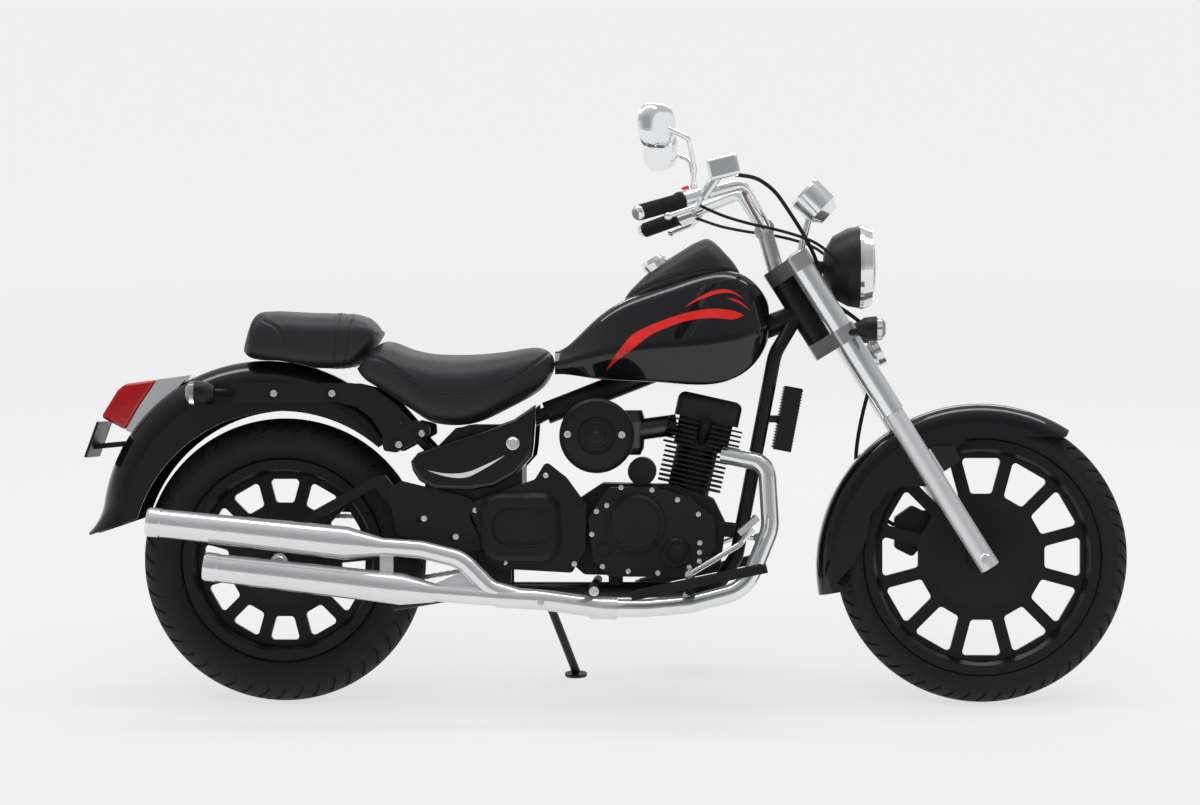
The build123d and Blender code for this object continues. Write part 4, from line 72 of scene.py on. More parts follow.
def way(x, y, z):
    """A direction of the upright motorcycle in the row frame."""
    return (BIKE_FORWARD * x + BIKE_LEFT * y + BIKE_UP * z).normalized()


# Materials


class Nodes:
    """A node tree, with short calls to fill it."""

    def __init__(self, tree):
        self.tree = tree

    def feed(self, socket, value):
        """A socket takes another node's output or a plain value."""
        if isinstance(value, bpy.types.NodeSocket):
            self.tree.links.new(value, socket)
        else:
            socket.default_value = value

    def node(self, kind, inputs=(), **settings):
        made = self.tree.nodes.new(kind)
        for key, value in settings.items():
            setattr(made, key, value)
        for key, value in dict(inputs).items():
            self.feed(made.inputs[key], value)
        return made

    def math(self, operation, *values):
        return self.node("ShaderNodeMath", enumerate(values), operation=operation).outputs[0]

    def vector(self, operation, *values):
        return self.node("ShaderNodeVectorMath", enumerate(values), operation=operation).outputs

    def ranged(self, value, low, high, to_low, to_high):
        ends = {"From Min": low, "From Max": high, "To Min": to_low, "To Max": to_high}
        return self.node("ShaderNodeMapRange", {"Value": value, **ends}).outputs["Result"]

    def either_colour(self, factor, first, second):
        ends = {"Factor": factor, "A": (*first, 1), "B": (*second, 1)}
        return self.node("ShaderNodeMix", ends, data_type="RGBA").outputs["Result"]

    def either_shader(self, factor, first, second):
        return self.node("ShaderNodeMixShader", {"Fac": factor, 1: first.outputs[0], 2: second.outputs[0]})


class Shader(Nodes):
    """A node material built around one Principled shader."""

    def __init__(self, name, colour, roughness, metallic=0.0, **sockets):
        self.material = bpy.data.materials.new(name)
        self.material.use_nodes = True
        super().__init__(self.material.node_tree)
        self.bsdf = self.tree.nodes["Principled BSDF"]
        self.colour = colour
        self.normal = None
        self.coordinates = self.node("ShaderNodeTexCoord").outputs["Object"]
        sockets.update(Base_Color=(*colour, 1), Roughness=roughness, Metallic=metallic)
        for socket, value in sockets.items():
            self.set(socket.replace("_", " "), value)

    def set(self, socket, value):
        self.feed(self.bsdf.inputs[socket], value)

    def noise(self, scale, detail, rough=0.5):
        inputs = {"Vector": self.coordinates, "Scale": scale, "Detail": detail, "Roughness": rough}
        return self.node("ShaderNodeTexNoise", inputs).outputs["Fac"]

    def cells(self, scale):
        inputs = {"Vector": self.coordinates, "Scale": scale}
        return self.node("ShaderNodeTexVoronoi", inputs).outputs["Distance"]

    def off_line(self, point, axis):
        """The distance from a line, in metres, from object coordinates."""
        shift = self.vector("SUBTRACT", self.coordinates, point)[0]
        return self.vector("LENGTH", self.vector("CROSS_PRODUCT", shift, axis)[0])["Value"]

    def tint(self, factor, low, high):
        """The base colour runs between two shades of itself."""
        shades = [[min(1.0, c * share) for c in self.colour] for share in (low, high)]
        self.set("Base Color", self.either_colour(factor, *shades))

    def rough(self, factor, low, high):
        self.set("Roughness", self.ranged(factor, 0.0, 1.0, low, high))

    def bump(self, height, strength, distance):
        inputs = {"Strength": strength, "Distance": distance, "Height": height}
        if self.normal is not None:
            inputs["Normal"] = self.normal
        self.normal = self.node("ShaderNodeBump", inputs).outputs["Normal"]
        self.set("Normal", self.normal)

    def finish(self, tint, rough, *grains):
        """Noise varies the shade and the roughness, and makes each grain."""
        self.tint(self.noise(*tint[0]), *tint[1:])
        self.rough(self.noise(*rough[0]), *rough[1:])
        for pattern, strength, distance in grains:
            self.bump(self.noise(*pattern), strength, distance)
        return self.material


def gloss_paint(name, colour, coat=1.0):
    made = Shader(name, colour, 0.30, Specular_IOR_Level=0.12, Coat_Weight=coat, Coat_Roughness=0.025,
                  Coat_IOR=1.48)
    return made.finish(((6.0, 2.0), 0.85, 1.2), ((18.0, 4.0), 0.24, 0.36), ((260.0, 2.0), 0.035, 0.0004))


def satin_metal_paint(name, colour, low, high, grain=0.12, scale=900.0):
    made = Shader(name, colour, low, Specular_IOR_Level=0.26, Coat_Weight=0.08, Coat_Roughness=0.3)
    return made.finish(
        ((9.0, 5.0, 0.6), 0.75, 1.35), ((28.0, 5.0, 0.6), low, high), ((scale, 2.0), grain, 0.0006))


def polished(name, colour, low, high, ripple=0.03, metallic=1.0):
    made = Shader(name, colour, low, metallic)
    return made.finish(((5.0, 3.0), 0.93, 1.04), ((35.0, 5.0, 0.65), low, high), ((22.0, 2.0), ripple, 0.001))


def cast_metal(name, colour, low, high):
    made = Shader(name, colour, low, 1.0)
    return made.finish(((14.0, 5.0, 0.6), 0.85, 1.1), ((60.0, 4.0), low, high), ((700.0, 3.0), 0.10, 0.0005))


def moulded(name, colour, low, high):
    made = Shader(name, colour, low, Specular_IOR_Level=0.28)
    made.bump(made.cells(1100.0), 0.2, 0.0005)
    return made.finish(((7.0, 4.0), 0.8, 1.25), ((30.0, 4.0), low, high))


def seat_leather(name, colour):
    made = Shader(name, colour, 0.42, Specular_IOR_Level=0.4, Sheen_Weight=0.03, Sheen_Roughness=0.4)
    made.bump(made.noise(45.0, 3.0), 0.10, 0.004)
    made.bump(made.cells(620.0), 0.35, 0.0008)
    return made.finish(
        ((8.0, 5.0, 0.6), 0.8, 1.4), ((40.0, 5.0, 0.6), 0.36, 0.52), ((1800.0, 2.0), 0.12, 0.0004))


def rubber(name, colour, low, high):
    made = Shader(name, colour, low, Specular_IOR_Level=0.25)
    return made.finish(((11.0, 5.0, 0.6), 0.8, 1.5), ((50.0, 4.0), low, high), ((500.0, 3.0), 0.15, 0.0006))


def tyre_rubber(name, centre, radius):
    """Matt rubber with fine moulded rings on the wall."""
    made = Shader(name, (0.0075, 0.0075, 0.0078), 0.66, Specular_IOR_Level=0.3)
    distance = made.off_line(centre, BIKE_LEFT)
    rings = made.math("SINE", made.math("MULTIPLY", distance, 1400.0))
    wall = made.ranged(distance, radius * 0.80, radius * 0.86, 1.0, 0.0)
    made.bump(made.math("MULTIPLY", rings, wall), 0.06, 0.0008)
    return made.finish(((16.0, 6.0, 0.65), 0.8, 1.5), ((55.0, 4.0), 0.56, 0.76), ((900.0, 3.0), 0.14, 0.0006))


def brushed_disc(name, centre):
    made = Shader(name, (0.50, 0.50, 0.49), 0.28, 1.0, Anisotropic=0.4)
    lines = made.math("SINE", made.math("MULTIPLY", made.off_line(centre, BIKE_LEFT), 5200.0))
    made.bump(lines, 0.05, 0.0003)
    return made.finish(((30.0, 4.0), 0.85, 1.1), ((80.0, 4.0), 0.22, 0.36))


SLIDER_SILVER = (0.74, 0.74, 0.75)
SLIDER_BLACK = (0.0065, 0.0065, 0.007)
SLIDER_EDGE = (0.0268, 0.0274)


def slider_metal(name):
    """Satin aluminium on the fork legs, with black paint on what stands off them."""
    made = Shader(name, SLIDER_SILVER, 0.36, 0.6)
    made.bump(made.noise(500.0, 3.0), 0.06, 0.0004)
    made.rough(made.noise(60.0, 4.0), 0.30, 0.42)
    legs = [made.off_line(at(WHEELBASE, FORK_SPREAD * side, FRONT_RADIUS), STEER_UP) for side in (1, -1)]
    apart = made.ranged(made.math("MINIMUM", *legs), *SLIDER_EDGE, 0.0, 1.0)
    made.set("Base Color", made.either_colour(apart, SLIDER_SILVER, SLIDER_BLACK))
    made.set("Metallic", made.math("MULTIPLY", made.math("SUBTRACT", 1.0, apart), 0.62))
    return made.material


def lens(name, colour, transmission, roughness, ribs=0.0):
    made = Shader(name, colour, roughness, Transmission_Weight=transmission, IOR=1.49, Coat_Weight=0.4,
                  Coat_Roughness=0.03)
    if ribs:
        inputs = {"Vector": made.coordinates, "Scale": ribs}
        made.bump(made.node("ShaderNodeTexWave", inputs, bands_direction="Z").outputs["Fac"], 0.12, 0.0008)
    return made.finish(((12.0, 2.0), 0.9, 1.1), ((30.0, 3.0), roughness * 0.7, roughness * 1.6))


BLACK_PAINT = gloss_paint("gloss_black_paint", (0.0030, 0.0032, 0.0040))
RED_STRIPE = gloss_paint("stripe_red", (0.50, 0.012, 0.010), 0.7)
SILVER_STRIPE = gloss_paint("stripe_silver", (0.60, 0.61, 0.62), 0.5)
SATIN_BLACK = satin_metal_paint("satin_black_metal", (0.0065, 0.0065, 0.007), 0.34, 0.48)
WHEEL_BLACK = satin_metal_paint("wheel_black", (0.0055, 0.0055, 0.006), 0.40, 0.54, 0.08)
ENGINE_BLACK = satin_metal_paint("engine_black", (0.0085, 0.0085, 0.009), 0.42, 0.56, 0.3, 700.0)
COVER_BLACK = satin_metal_paint("cover_black", (0.0075, 0.0075, 0.008), 0.36, 0.50, 0.1)
CHROME = polished("chrome", (0.87, 0.88, 0.89), 0.04, 0.10, 0.03, 0.80)
MUFFLER_CHROME = polished("muffler_chrome", (0.83, 0.83, 0.84), 0.12, 0.22, 0.05, 0.76)
ALUMINIUM = slider_metal("satin_aluminium")
CAST = cast_metal("cast_aluminium", (0.55, 0.55, 0.56), 0.36, 0.48)
DARK_CAST = cast_metal("dark_cast_metal", (0.10, 0.10, 0.102), 0.34, 0.46)
STEEL = polished("bright_steel", (0.52, 0.51, 0.50), 0.18, 0.32, 0.1)
BOLT = polished("bolt_chrome", (0.80, 0.80, 0.81), 0.12, 0.24, 0.03, 0.7)
PLASTIC = moulded("satin_black_plastic", (0.0075, 0.0075, 0.008), 0.36, 0.5)
RUBBER = rubber("black_rubber", (0.0085, 0.0085, 0.009), 0.6, 0.8)
LEATHER = seat_leather("seat_leather", (0.0105, 0.0105, 0.0118))
DIAL_BLACK = moulded("dial_black", (0.008, 0.008, 0.009), 0.3, 0.4)
MARK_WHITE = moulded("dial_marks", (0.75, 0.75, 0.72), 0.4, 0.5)
NEEDLE_RED = moulded("dial_needle", (0.6, 0.03, 0.02), 0.35, 0.45)
THREAD = rubber("seat_thread", (0.03, 0.03, 0.032), 0.5, 0.7)
DISC_STEEL = brushed_disc("brake_disc_steel", FRONT_AXLE)
RED_LENS = lens("red_lens", (0.36, 0.003, 0.006), 0.12, 0.05, 22.0)
CLEAR_LENS = lens("clear_lens", (0.92, 0.93, 0.94), 0.94, 0.03)
INDICATOR_LENS = lens("indicator_lens", (0.86, 0.87, 0.88), 0.82, 0.06, 60.0)
MIRROR_FACE = polished("mirror_face", (0.90, 0.92, 0.93), 0.0, 0.012, 0.0)
FRONT_RUBBER = tyre_rubber("front_tyre_rubber", FRONT_AXLE, FRONT_RADIUS * MM)
REAR_RUBBER = tyre_rubber("rear_tyre_rubber", REAR_AXLE, REAR_RADIUS * MM)

MATERIAL_NODES = (
    (FRONT_RUBBER, "front_tyre"),
    (REAR_RUBBER, "rear_tyre"),
    (WHEEL_BLACK, "front_wheel rear_wheel"),
    (DISC_STEEL, "brake_disc"),
    (CAST, "fork_clamps"),
    (ALUMINIUM, "fork_sliders"),
    (CHROME, "fork_covers exhaust_header tail_lamp_base foot_pedals handlebar hand_controls mirrors"),
    (CHROME, "speedometer headlight_ring headlight_reflector horn filler_cap"),
    (MUFFLER_CHROME, "lower_muffler upper_muffler"),
    (STEEL, "front_axle rear_axle drive_chain"),
    (SATIN_BLACK, "swingarm frame fender_rails plate_bracket oil_cooler side_stand"),
    (COVER_BLACK, "right_engine_cover left_engine_cover"),
    (ENGINE_BLACK, "cylinder_and_head crankcase front_sprocket brake_caliper"),
    (BLACK_PAINT, "fuel_tank front_fender rear_fender side_covers"),
    (LEATHER, "tank_pad rider_seat pillion_seat"),
    (PLASTIC, "battery_box pivot_covers air_cleaner rear_indicators front_indicators headlight_shell"),
    (DARK_CAST, "carburettor"),
    (RED_LENS, "tail_lens"),
    (INDICATOR_LENS, "rear_indicator_lenses front_indicator_lenses"),
    (CLEAR_LENS, "headlight_glass"),
    (RUBBER, "floorboards grips brake_hose control_cables passenger_pegs"),
    (MIRROR_FACE, "mirror_glass"),
)
for material, names in MATERIAL_NODES:
    for name in names.split():
        nodes[name].data.materials.clear()
        nodes[name].data.materials.append(material)

# Floor and light

FLOOR_SIZE = 160.0
FLOOR_PAINT = (0.80, 0.80, 0.797)
FLOOR_GLOW = (0.968, 0.968, 0.964)
GLOW_SHARE = 0.70
BACKGROUND = (0.872, 0.872, 0.868)
FILL_COLOUR = (0.97, 0.985, 1.0)
FILL_STRENGTH = 0.42
ROOF_COLOUR = (0.50, 0.50, 0.51)
# How high on the room a step lies, and its grey
ROOM_STEPS = ((0.10, 0.78), (0.22, 0.40), (0.60, 0.36))
# The room is darker behind the camera: where it starts and ends, and the levels there
ROOM_SHADE = (-0.95, -0.10, 0.42, 1.0)


def make_floor():
    sheet = bpy.data.meshes.new("floor")
    half = FLOOR_SIZE / 2
    corners = [(-half, -half, 0), (half, -half, 0), (half, half, 0), (-half, half, 0)]
    sheet.from_pydata(corners, [], [(0, 1, 2, 3)])
    floor = bpy.data.objects.new("floor", sheet)
    bpy.context.scene.collection.objects.link(floor)
    made = Shader("floor_white", FLOOR_PAINT, 0.9, Specular_IOR_Level=0.1)
    reach = made.vector("LENGTH", made.coordinates)["Value"]
    # Painted shade: the floor's paint is darker near the middle, where the lamps light it more, so that it
    # renders evenly bright
    made.tint(made.ranged(reach, 1.5, 8.0, 0.0, 1.0), 0.66, 1.0)
    made.bump(made.noise(160.0, 3.0), 0.02, 0.002)
    glow = made.node("ShaderNodeEmission", {"Color": (*FLOOR_GLOW, 1)})
    path = made.node("ShaderNodeLightPath").outputs
    through = made.math("MAXIMUM", path["Is Glossy Ray"], path["Is Transmission Ray"])
    seen = made.math("MAXIMUM", path["Is Camera Ray"], through)
    mix = made.either_shader(made.math("MULTIPLY", seen, GLOW_SHARE), made.bsdf, glow)
    made.feed(made.tree.nodes["Material Output"].inputs["Surface"], mix.outputs[0])
    floor.data.materials.append(made.material)


make_floor()


def make_world():
    """A pale studio: the backdrop stands all round and ends a little above the horizon."""
    world = bpy.data.worlds.new("studio")
    bpy.context.scene.world = world
    world.use_nodes = True
    made = Nodes(world.node_tree)
    made.tree.nodes.clear()
    fill = made.node("ShaderNodeBackground", {"Color": (*FILL_COLOUR, 1), "Strength": FILL_STRENGTH})
    backdrop = made.node("ShaderNodeBackground", {"Color": (*BACKGROUND, 1)})
    split = made.node("ShaderNodeSeparateXYZ", {0: made.node("ShaderNodeTexCoord").outputs["Generated"]})
    ramp = made.node("ShaderNodeValToRGB", {"Fac": split.outputs["Z"]})
    steps = ramp.color_ramp.elements
    steps[0].position, steps[0].color = 0.0, (*BACKGROUND, 1)
    steps[1].position, steps[1].color = 1.0, (*ROOF_COLOUR, 1)
    for position, level in ROOM_STEPS:
        steps.new(position).color = (level, level, level * 1.02, 1)
    shade = made.ranged(split.outputs["Y"], *ROOM_SHADE)
    room = made.node("ShaderNodeBackground", {"Color": ramp.outputs["Color"], "Strength": shade})
    path = made.node("ShaderNodeLightPath").outputs
    lit = made.either_shader(path["Is Glossy Ray"], fill, room)
    seen = made.math("MAXIMUM", path["Is Camera Ray"], path["Is Transmission Ray"])
    mix = made.either_shader(seen, lit, backdrop)
    made.node("ShaderNodeOutputWorld", {"Surface": mix.outputs[0]})


make_world()


def make_lamp(name, kind, place, aim, mirrored, **settings):
    """A lamp aimed at a point; one that isn't mirrored shows in no reflection."""
    data = bpy.data.lights.new(name, kind)
    for key, value in settings.items():
        setattr(data, key, value)
    lamp = bpy.data.objects.new(name, data)
    bpy.context.scene.collection.objects.link(lamp)
    lamp.location = place
    lamp.rotation_mode = "QUATERNION"
    lamp.rotation_quaternion = (Vector(aim) - Vector(place)).to_track_quat("-Z", "Y")
    lamp.visible_glossy = mirrored


def wide_light(name, place, strength, spread):
    """An even light over the floor and the object."""
    make_lamp(name, "SUN", place, (0, 0, 0), False, energy=strength, angle=math.radians(spread))


def softbox(name, place, aim, width, height, watts, colour=(1, 1, 1), mirrored=True):
    """A large lamp, whose picture shows in paint and chrome if it is mirrored."""
    make_lamp(name, "AREA", place, aim, mirrored, shape="RECTANGLE", size=width, size_y=height, energy=watts,
              color=colour)


wide_light("top_light", (0.3, -0.5, 3.0), 0.9, 70.0)
wide_light("camera_side_light", (-1.0, -3.0, 1.8), 0.75, 60.0)
softbox("overhead_strip", (0.0, 0.25, 3.3), (0.0, 0.1, 0.6), 5.0, 0.7, 56, (0.98, 0.99, 1.0))
softbox("camera_side_box", (0.0, -2.3, 3.7), (0, 0, 0.6), 6.4, 0.6, 40, (0.96, 0.98, 1.0), False)
softbox("rear_box", (0.3, 3.4, 2.8), (0, 0, 0.7), 3.6, 0.8, 34)

# Camera

VIEW_DISTANCE = 8000.0
MM_PER_PIXEL = 2.293
PHOTO_SIZE = (1200.0, 805.0)
LEVEL_PIXEL = (700.0, 400.0)
ORIGIN_PIXEL = (284.5, 701.0)
REAR_AXLE_PIXEL = (284.5, 559.7)
FOCAL_PIXELS = VIEW_DISTANCE / MM_PER_PIXEL
EYE = at(
    (LEVEL_PIXEL[0] - ORIGIN_PIXEL[0]) * MM_PER_PIXEL, -VIEW_DISTANCE,
    (ORIGIN_PIXEL[1] - LEVEL_PIXEL[1]) * MM_PER_PIXEL,
)
LOOK = way(
    (PHOTO_SIZE[0] / 2 - LEVEL_PIXEL[0]) / FOCAL_PIXELS, 1.0,
    (LEVEL_PIXEL[1] - PHOTO_SIZE[1] / 2) / FOCAL_PIXELS,
)
LOOK_RIGHT = LOOK.cross(BIKE_UP).normalized()
LOOK_UP = LOOK_RIGHT.cross(LOOK)


def make_camera():
    """The photograph's viewpoint: level with the upright motorcycle's middle, a little turned to its rear."""
    data = bpy.data.cameras.new("camera")
    data.sensor_width = 36.0
    data.lens = FOCAL_PIXELS / PHOTO_SIZE[0] * data.sensor_width
    data.clip_end = 300.0
    camera = bpy.data.objects.new("camera", data)
    bpy.context.scene.collection.objects.link(camera)
    rotation = Matrix((LOOK_RIGHT, LOOK_UP, -LOOK)).transposed()
    camera.matrix_world = Matrix.Translation(EYE) @ rotation.to_4x4()
    bpy.context.scene.camera = camera


make_camera()


def pixel_ray(px, py):
    """The direction from the photograph's viewpoint through one of its pixels."""
    across = (px - PHOTO_SIZE[0] / 2) / FOCAL_PIXELS
    upward = (PHOTO_SIZE[1] / 2 - py) / FOCAL_PIXELS
    return (LOOK + LOOK_RIGHT * across + LOOK_UP * upward).normalized()


def pixel_on_plane(px, py, y):
    """Where a pixel's ray meets the upright motorcycle's plane at y millimetres to its left."""
    start = UNPLACE @ EYE
    run = UNPLACE.to_3x3() @ pixel_ray(px, py)
    return start + run * ((y - start.y) / run.y)


# Making pieces


def smooth_line(points, count):
    """A Catmull-Rom line through the points, in even steps along each run."""
    spots = [Vector(p) for p in points]
    spots = [spots[0] * 2 - spots[1], *spots, spots[-1] * 2 - spots[-2]]
    made = []
    runs = len(spots) - 3
    for step in range(count):
        along = step / (count - 1) * runs
        at_run = min(int(along), runs - 1)
        t = along - at_run
        a, b, c, d = spots[at_run:at_run + 4]
        made.append(0.5 * (
            (2 * b) + (c - a) * t + (2 * a - 5 * b + 4 * c - d) * t * t + (3 * b - a - 3 * c + d) * t ** 3))
    return made


def pixel_line(pixels, count):
    """A smooth line through photograph pixels, with pixels down as its y."""
    return smooth_line([(x, y, 0) for x, y in pixels], count)


def arc(first, second, third, steps):
    """Points from the first to the third on the circle through all three."""
    (ax, ay), (bx, by), (cx, cy) = first, second, third
    double = 2 * (ax * (by - cy) + bx * (cy - ay) + cx * (ay - by))
    sa, sb, sc = ax * ax + ay * ay, bx * bx + by * by, cx * cx + cy * cy
    ux = (sa * (by - cy) + sb * (cy - ay) + sc * (ay - by)) / double
    uy = (sa * (cx - bx) + sb * (ax - cx) + sc * (bx - ax)) / double
    radius = math.hypot(ax - ux, ay - uy)
    start, middle, end = (math.atan2(y - uy, x - ux) for x, y in (first, second, third))
    turn = (end - start) % math.tau
    if (middle - start) % math.tau > turn:
        turn -= math.tau
    return [
        (ux + radius * math.cos(start + turn * k / steps), uy + radius * math.sin(start + turn * k / steps))
        for k in range(steps + 1)
    ]


def ring_faces(rows, sides, closed=False, foot=False, head=False):
    """Quads between rings of points that follow one another, and the flat ends that are wanted."""
    faces = []
    for i in range(rows if closed else rows - 1):
        j = (i + 1) % rows
        for k in range(sides):
            n = (k + 1) % sides
            faces.append((i * sides + k, i * sides + n, j * sides + n, j * sides + k))
    if foot:
        faces.append(tuple(range(sides))[::-1])
    if head:
        faces.append(tuple(range((rows - 1) * sides, rows * sides)))
    return faces


def circle(centre, across, other, radius, sides):
    """Points round a circle that lies along two crosswise directions."""
    turns = (math.tau * k / sides for k in range(sides))
    return [centre + (across * math.cos(turn) + other * math.sin(turn)) * radius for turn in turns]


def piece(name, points, faces, material, body, smooth=35.0, replaces=(), placed=True):
    """One mesh piece, from points in upright millimetres unless they are placed already, riding on a body."""
    mesh = bpy.data.meshes.new(name)
    mesh.from_pydata([PLACE @ Vector(p) for p in points] if placed else points, [], faces)
    mesh.validate()
    mesh.shade_smooth()
    mesh.set_sharp_from_angle(angle=math.radians(smooth))
    mesh.materials.append(material)
    made = bpy.data.objects.new(name, mesh)
    bpy.context.scene.collection.objects.link(made)
    if replaces:
        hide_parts(*replaces)
    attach(made, body)
    return made


class Pile:
    """Many small shapes joined in one mesh."""

    def __init__(self):
        self.points = []
        self.faces = []

    def add(self, points, faces):
        start = len(self.points)
        self.points.extend(points)
        self.faces.extend([tuple(start + i for i in face) for face in faces])

    def lathe(self, centre, along, profile, sides=24):
        """A turned shape: profile of (radius, distance) from its foot to its top, both ends closed."""
        axis = Vector(along).normalized()
        across = axis.orthogonal().normalized()
        other = axis.cross(across)
        points = []
        for radius, distance in profile:
            points.extend(circle(Vector(centre) + axis * distance, across, other, radius, sides))
        self.add(points, ring_faces(len(profile), sides, False, profile[0][0] > 0, profile[-1][0] > 0))

    def tube(self, line, radius, sides, closed=False):
        """A thin round line through the points."""
        points = []
        count = len(line)
        side = None
        for i, spot in enumerate(line):
            ahead = line[(i + 1) % count] if closed or i + 1 < count else line[i]
            behind = line[i - 1] if closed or i > 0 else line[i]
            run = (ahead - behind).normalized()
            side = run.orthogonal() if side is None else side - run * side.dot(run)
            side.normalize()
            points.extend(circle(spot, side, run.cross(side), radius, sides))
        self.add(points, ring_faces(count, sides, closed, not closed, not closed))

    def nut(self, centre, along, washer, head, sides=28):
        """A round washer and a hexagon on it, both from profiles."""
        self.lathe(centre, along, washer, sides)
        self.lathe(centre, along, head, 6)

    def hex_bolt(self, centre, along, radius, height):
        """A hexagon head on a washer."""
        self.nut(
            centre, along,
            [(radius * 1.45, 0), (radius * 1.45, height * 0.18), (radius * 1.35, height * 0.24),
             (radius * 0.9, height * 0.24)],
            [(radius, height * 0.2), (radius, height * 0.86), (radius * 0.86, height), (0, height)], 24,
        )

    def socket_bolt(self, centre, along, radius, height):
        """A round head with a round socket, on a washer."""
        self.lathe(centre, along, [
            (radius, 0), (radius, height * 0.8), (radius * 0.9, height), (radius * 0.55, height),
            (radius * 0.5, height * 0.4), (0, height * 0.4),
        ])
        self.lathe(centre, along, [
            (radius * 1.25, -1.0), (radius * 1.25, 1.0), (radius * 1.15, 1.4), (radius, 1.4)], 28)

    def piece(self, name, material, body, slot, smooth=35.0, replaces=()):
        return piece(name, self.points, self.faces, material, body, smooth, replaces)


def surface_of(*names, upright=True):
    """The surface of CAD nodes, in upright millimetres or else in the row frame, to set things on."""
    points, faces = [], []
    for name in names:
        mesh = nodes[name].data
        start = len(points)
        points.extend(UNPLACE @ v.co if upright else v.co.copy() for v in mesh.vertices)
        faces.extend([start + i for i in polygon.vertices] for polygon in mesh.polygons)
    return BVHTree.FromPolygons(points, faces)


SIDE_START = 400.0


def from_side(tree, x, z, side):
    """Where an upright surface is first met from one side, and its normal there."""
    hit, normal, _, _ = tree.ray_cast(Vector((x, SIDE_START * side, z)), Vector((0, -side, 0)))
    return hit, normal


# Tyres with a moulded tread and wall rings

# Shares of the tread's half width where its rings of points lie
TREAD_EDGES = (1.0, 0.97, 0.9, 0.8, 0.7, 0.6, 0.5, 0.42, 0.39, 0.3, 0.235, 0.225, 0.185, 0.175, 0.08)
TREAD_SHARES = (*TREAD_EDGES, 0.0, *[-edge for edge in TREAD_EDGES[::-1]])
TREAD_STEPS = 200
TREAD_SLANT = 0.9
# Shares of one pitch of the tread, the two of them that are grooved, and how far out the grooves run
PITCH_SHARES = (0.0, 0.22, 0.44, 0.64, 0.68, 0.84, 0.88)
GROOVED = (0.68, 0.84)
GROOVE_REACH = (0.40, 0.999)
CHANNEL_REACH = (0.18, 0.23)
GROOVE_DEPTH = 4.0
WALL_STEPS = 18
# Steps up the wall that stand out or lie in
WALL_RINGS = {3: 0.9, 4: 0.9, 12: -0.7}


def make_tyre(name, axle_x, radius, width, bead_radius, pitches, material, body):
    half = width / 2
    height = radius - bead_radius
    bead = (half * 0.62, bead_radius + 12.0)
    shoulder = (half * 0.86, radius - height * 0.28)
    wall = arc(bead, (half, bead_radius + height * 0.5), shoulder, WALL_STEPS)[:-1]
    tread = arc(shoulder, (0.0, radius), (-shoulder[0], shoulder[1]), TREAD_STEPS)
    # Each ring of points: its place across and out, how far it stands out, if it is a channel, its share
    left = [(y, r, WALL_RINGS.get(k, 0.0), False, 1.0) for k, (y, r) in enumerate(wall)]
    rows = list(left)
    for share in TREAD_SHARES:
        y, r = tread[round((1 - share) * TREAD_STEPS / 2)]
        rows.append((y, r, 0.0, CHANNEL_REACH[0] < abs(share) < CHANNEL_REACH[1], share))
    rows.extend((-y, r, raised, False, -1.0) for y, r, raised, _, _ in left[::-1])
    rows.append((-bead[0], bead_radius, 0.0, False, -1.0))
    rows.append((bead[0], bead_radius, 0.0, False, 1.0))
    first_tread = len(wall)
    last_tread = len(wall) + len(TREAD_SHARES) - 1
    points = []
    for index, (y, r, raised, channel, share) in enumerate(rows):
        before, after = rows[index - 1], rows[(index + 1) % len(rows)]
        run_y, run_r = after[0] - before[0], after[1] - before[1]
        length = math.hypot(run_y, run_r) or 1.0
        out_y, out_r = -run_r / length, run_y / length
        if out_y * y + out_r * (r - bead_radius - height / 2) < 0:
            out_y, out_r = -out_y, -out_r
        on_tread = first_tread <= index <= last_tread
        beside_tread = index in (first_tread - 1, first_tread - 2, last_tread + 1, last_tread + 2)
        grooved = beside_tread or on_tread and GROOVE_REACH[0] < abs(share) < GROOVE_REACH[1]
        stagger = 0.5 * min(1.0, abs(share) / 0.3) if share < 0 else 0.0
        for pitch in range(pitches):
            for part in PITCH_SHARES:
                angle = math.tau * (pitch + part + TREAD_SLANT * abs(share) + stagger) / pitches
                sunk = (GROOVE_DEPTH if channel else 0.0) - raised
                if grooved and part in GROOVED:
                    sunk += GROOVE_DEPTH if on_tread else GROOVE_DEPTH * 0.5
                out = r - out_r * sunk
                x, z = axle_x + out * math.cos(angle), radius + out * math.sin(angle)
                points.append((x, y - out_y * sunk, z))
    faces = ring_faces(len(rows), pitches * len(PITCH_SHARES), True)
    piece(name + "_moulded", points, faces, material, body, 30.0, (name,))


make_tyre("front_tyre", WHEELBASE, FRONT_RADIUS, 104.0, 256.0, 56, FRONT_RUBBER, "front_wheel_body")
make_tyre("rear_tyre", 0.0, REAR_RADIUS, 140.0, 218.0, 48, REAR_RUBBER, "rear_wheel_body")

# Painted stripes on both sides, each from its upper and lower outline in photograph pixels

TANK_STRIPES = (
    # The long swoosh
    ([(605.8, 370.8), (613.3, 358.3), (623.3, 345.0), (633.3, 334.2), (648.3, 326.2), (665.0, 319.6),
      (683.3, 313.6), (700.0, 310.0), (716.7, 308.8), (733.3, 310.8), (744.2, 315.3)],
     [(605.8, 370.8), (620.0, 358.3), (636.7, 345.8), (645.0, 339.0), (656.7, 331.9), (676.7, 324.0),
      (690.0, 320.3), (703.0, 318.6), (716.7, 318.2), (733.3, 319.4), (744.2, 315.3)]),
    # The upper arc
    ([(684.0, 307.5), (697.0, 298.5), (711.0, 291.5), (723.3, 289.2), (733.3, 291.4), (744.5, 299.5)],
     [(684.0, 307.5), (699.0, 300.2), (712.0, 295.3), (723.0, 293.0), (732.8, 293.6), (744.5, 299.5)]),
    # The short arc
    ([(727.0, 298.5), (734.0, 299.0), (741.0, 302.2), (751.0, 311.0)],
     [(727.0, 298.5), (733.6, 301.0), (740.4, 304.2), (751.0, 311.0)]),
)
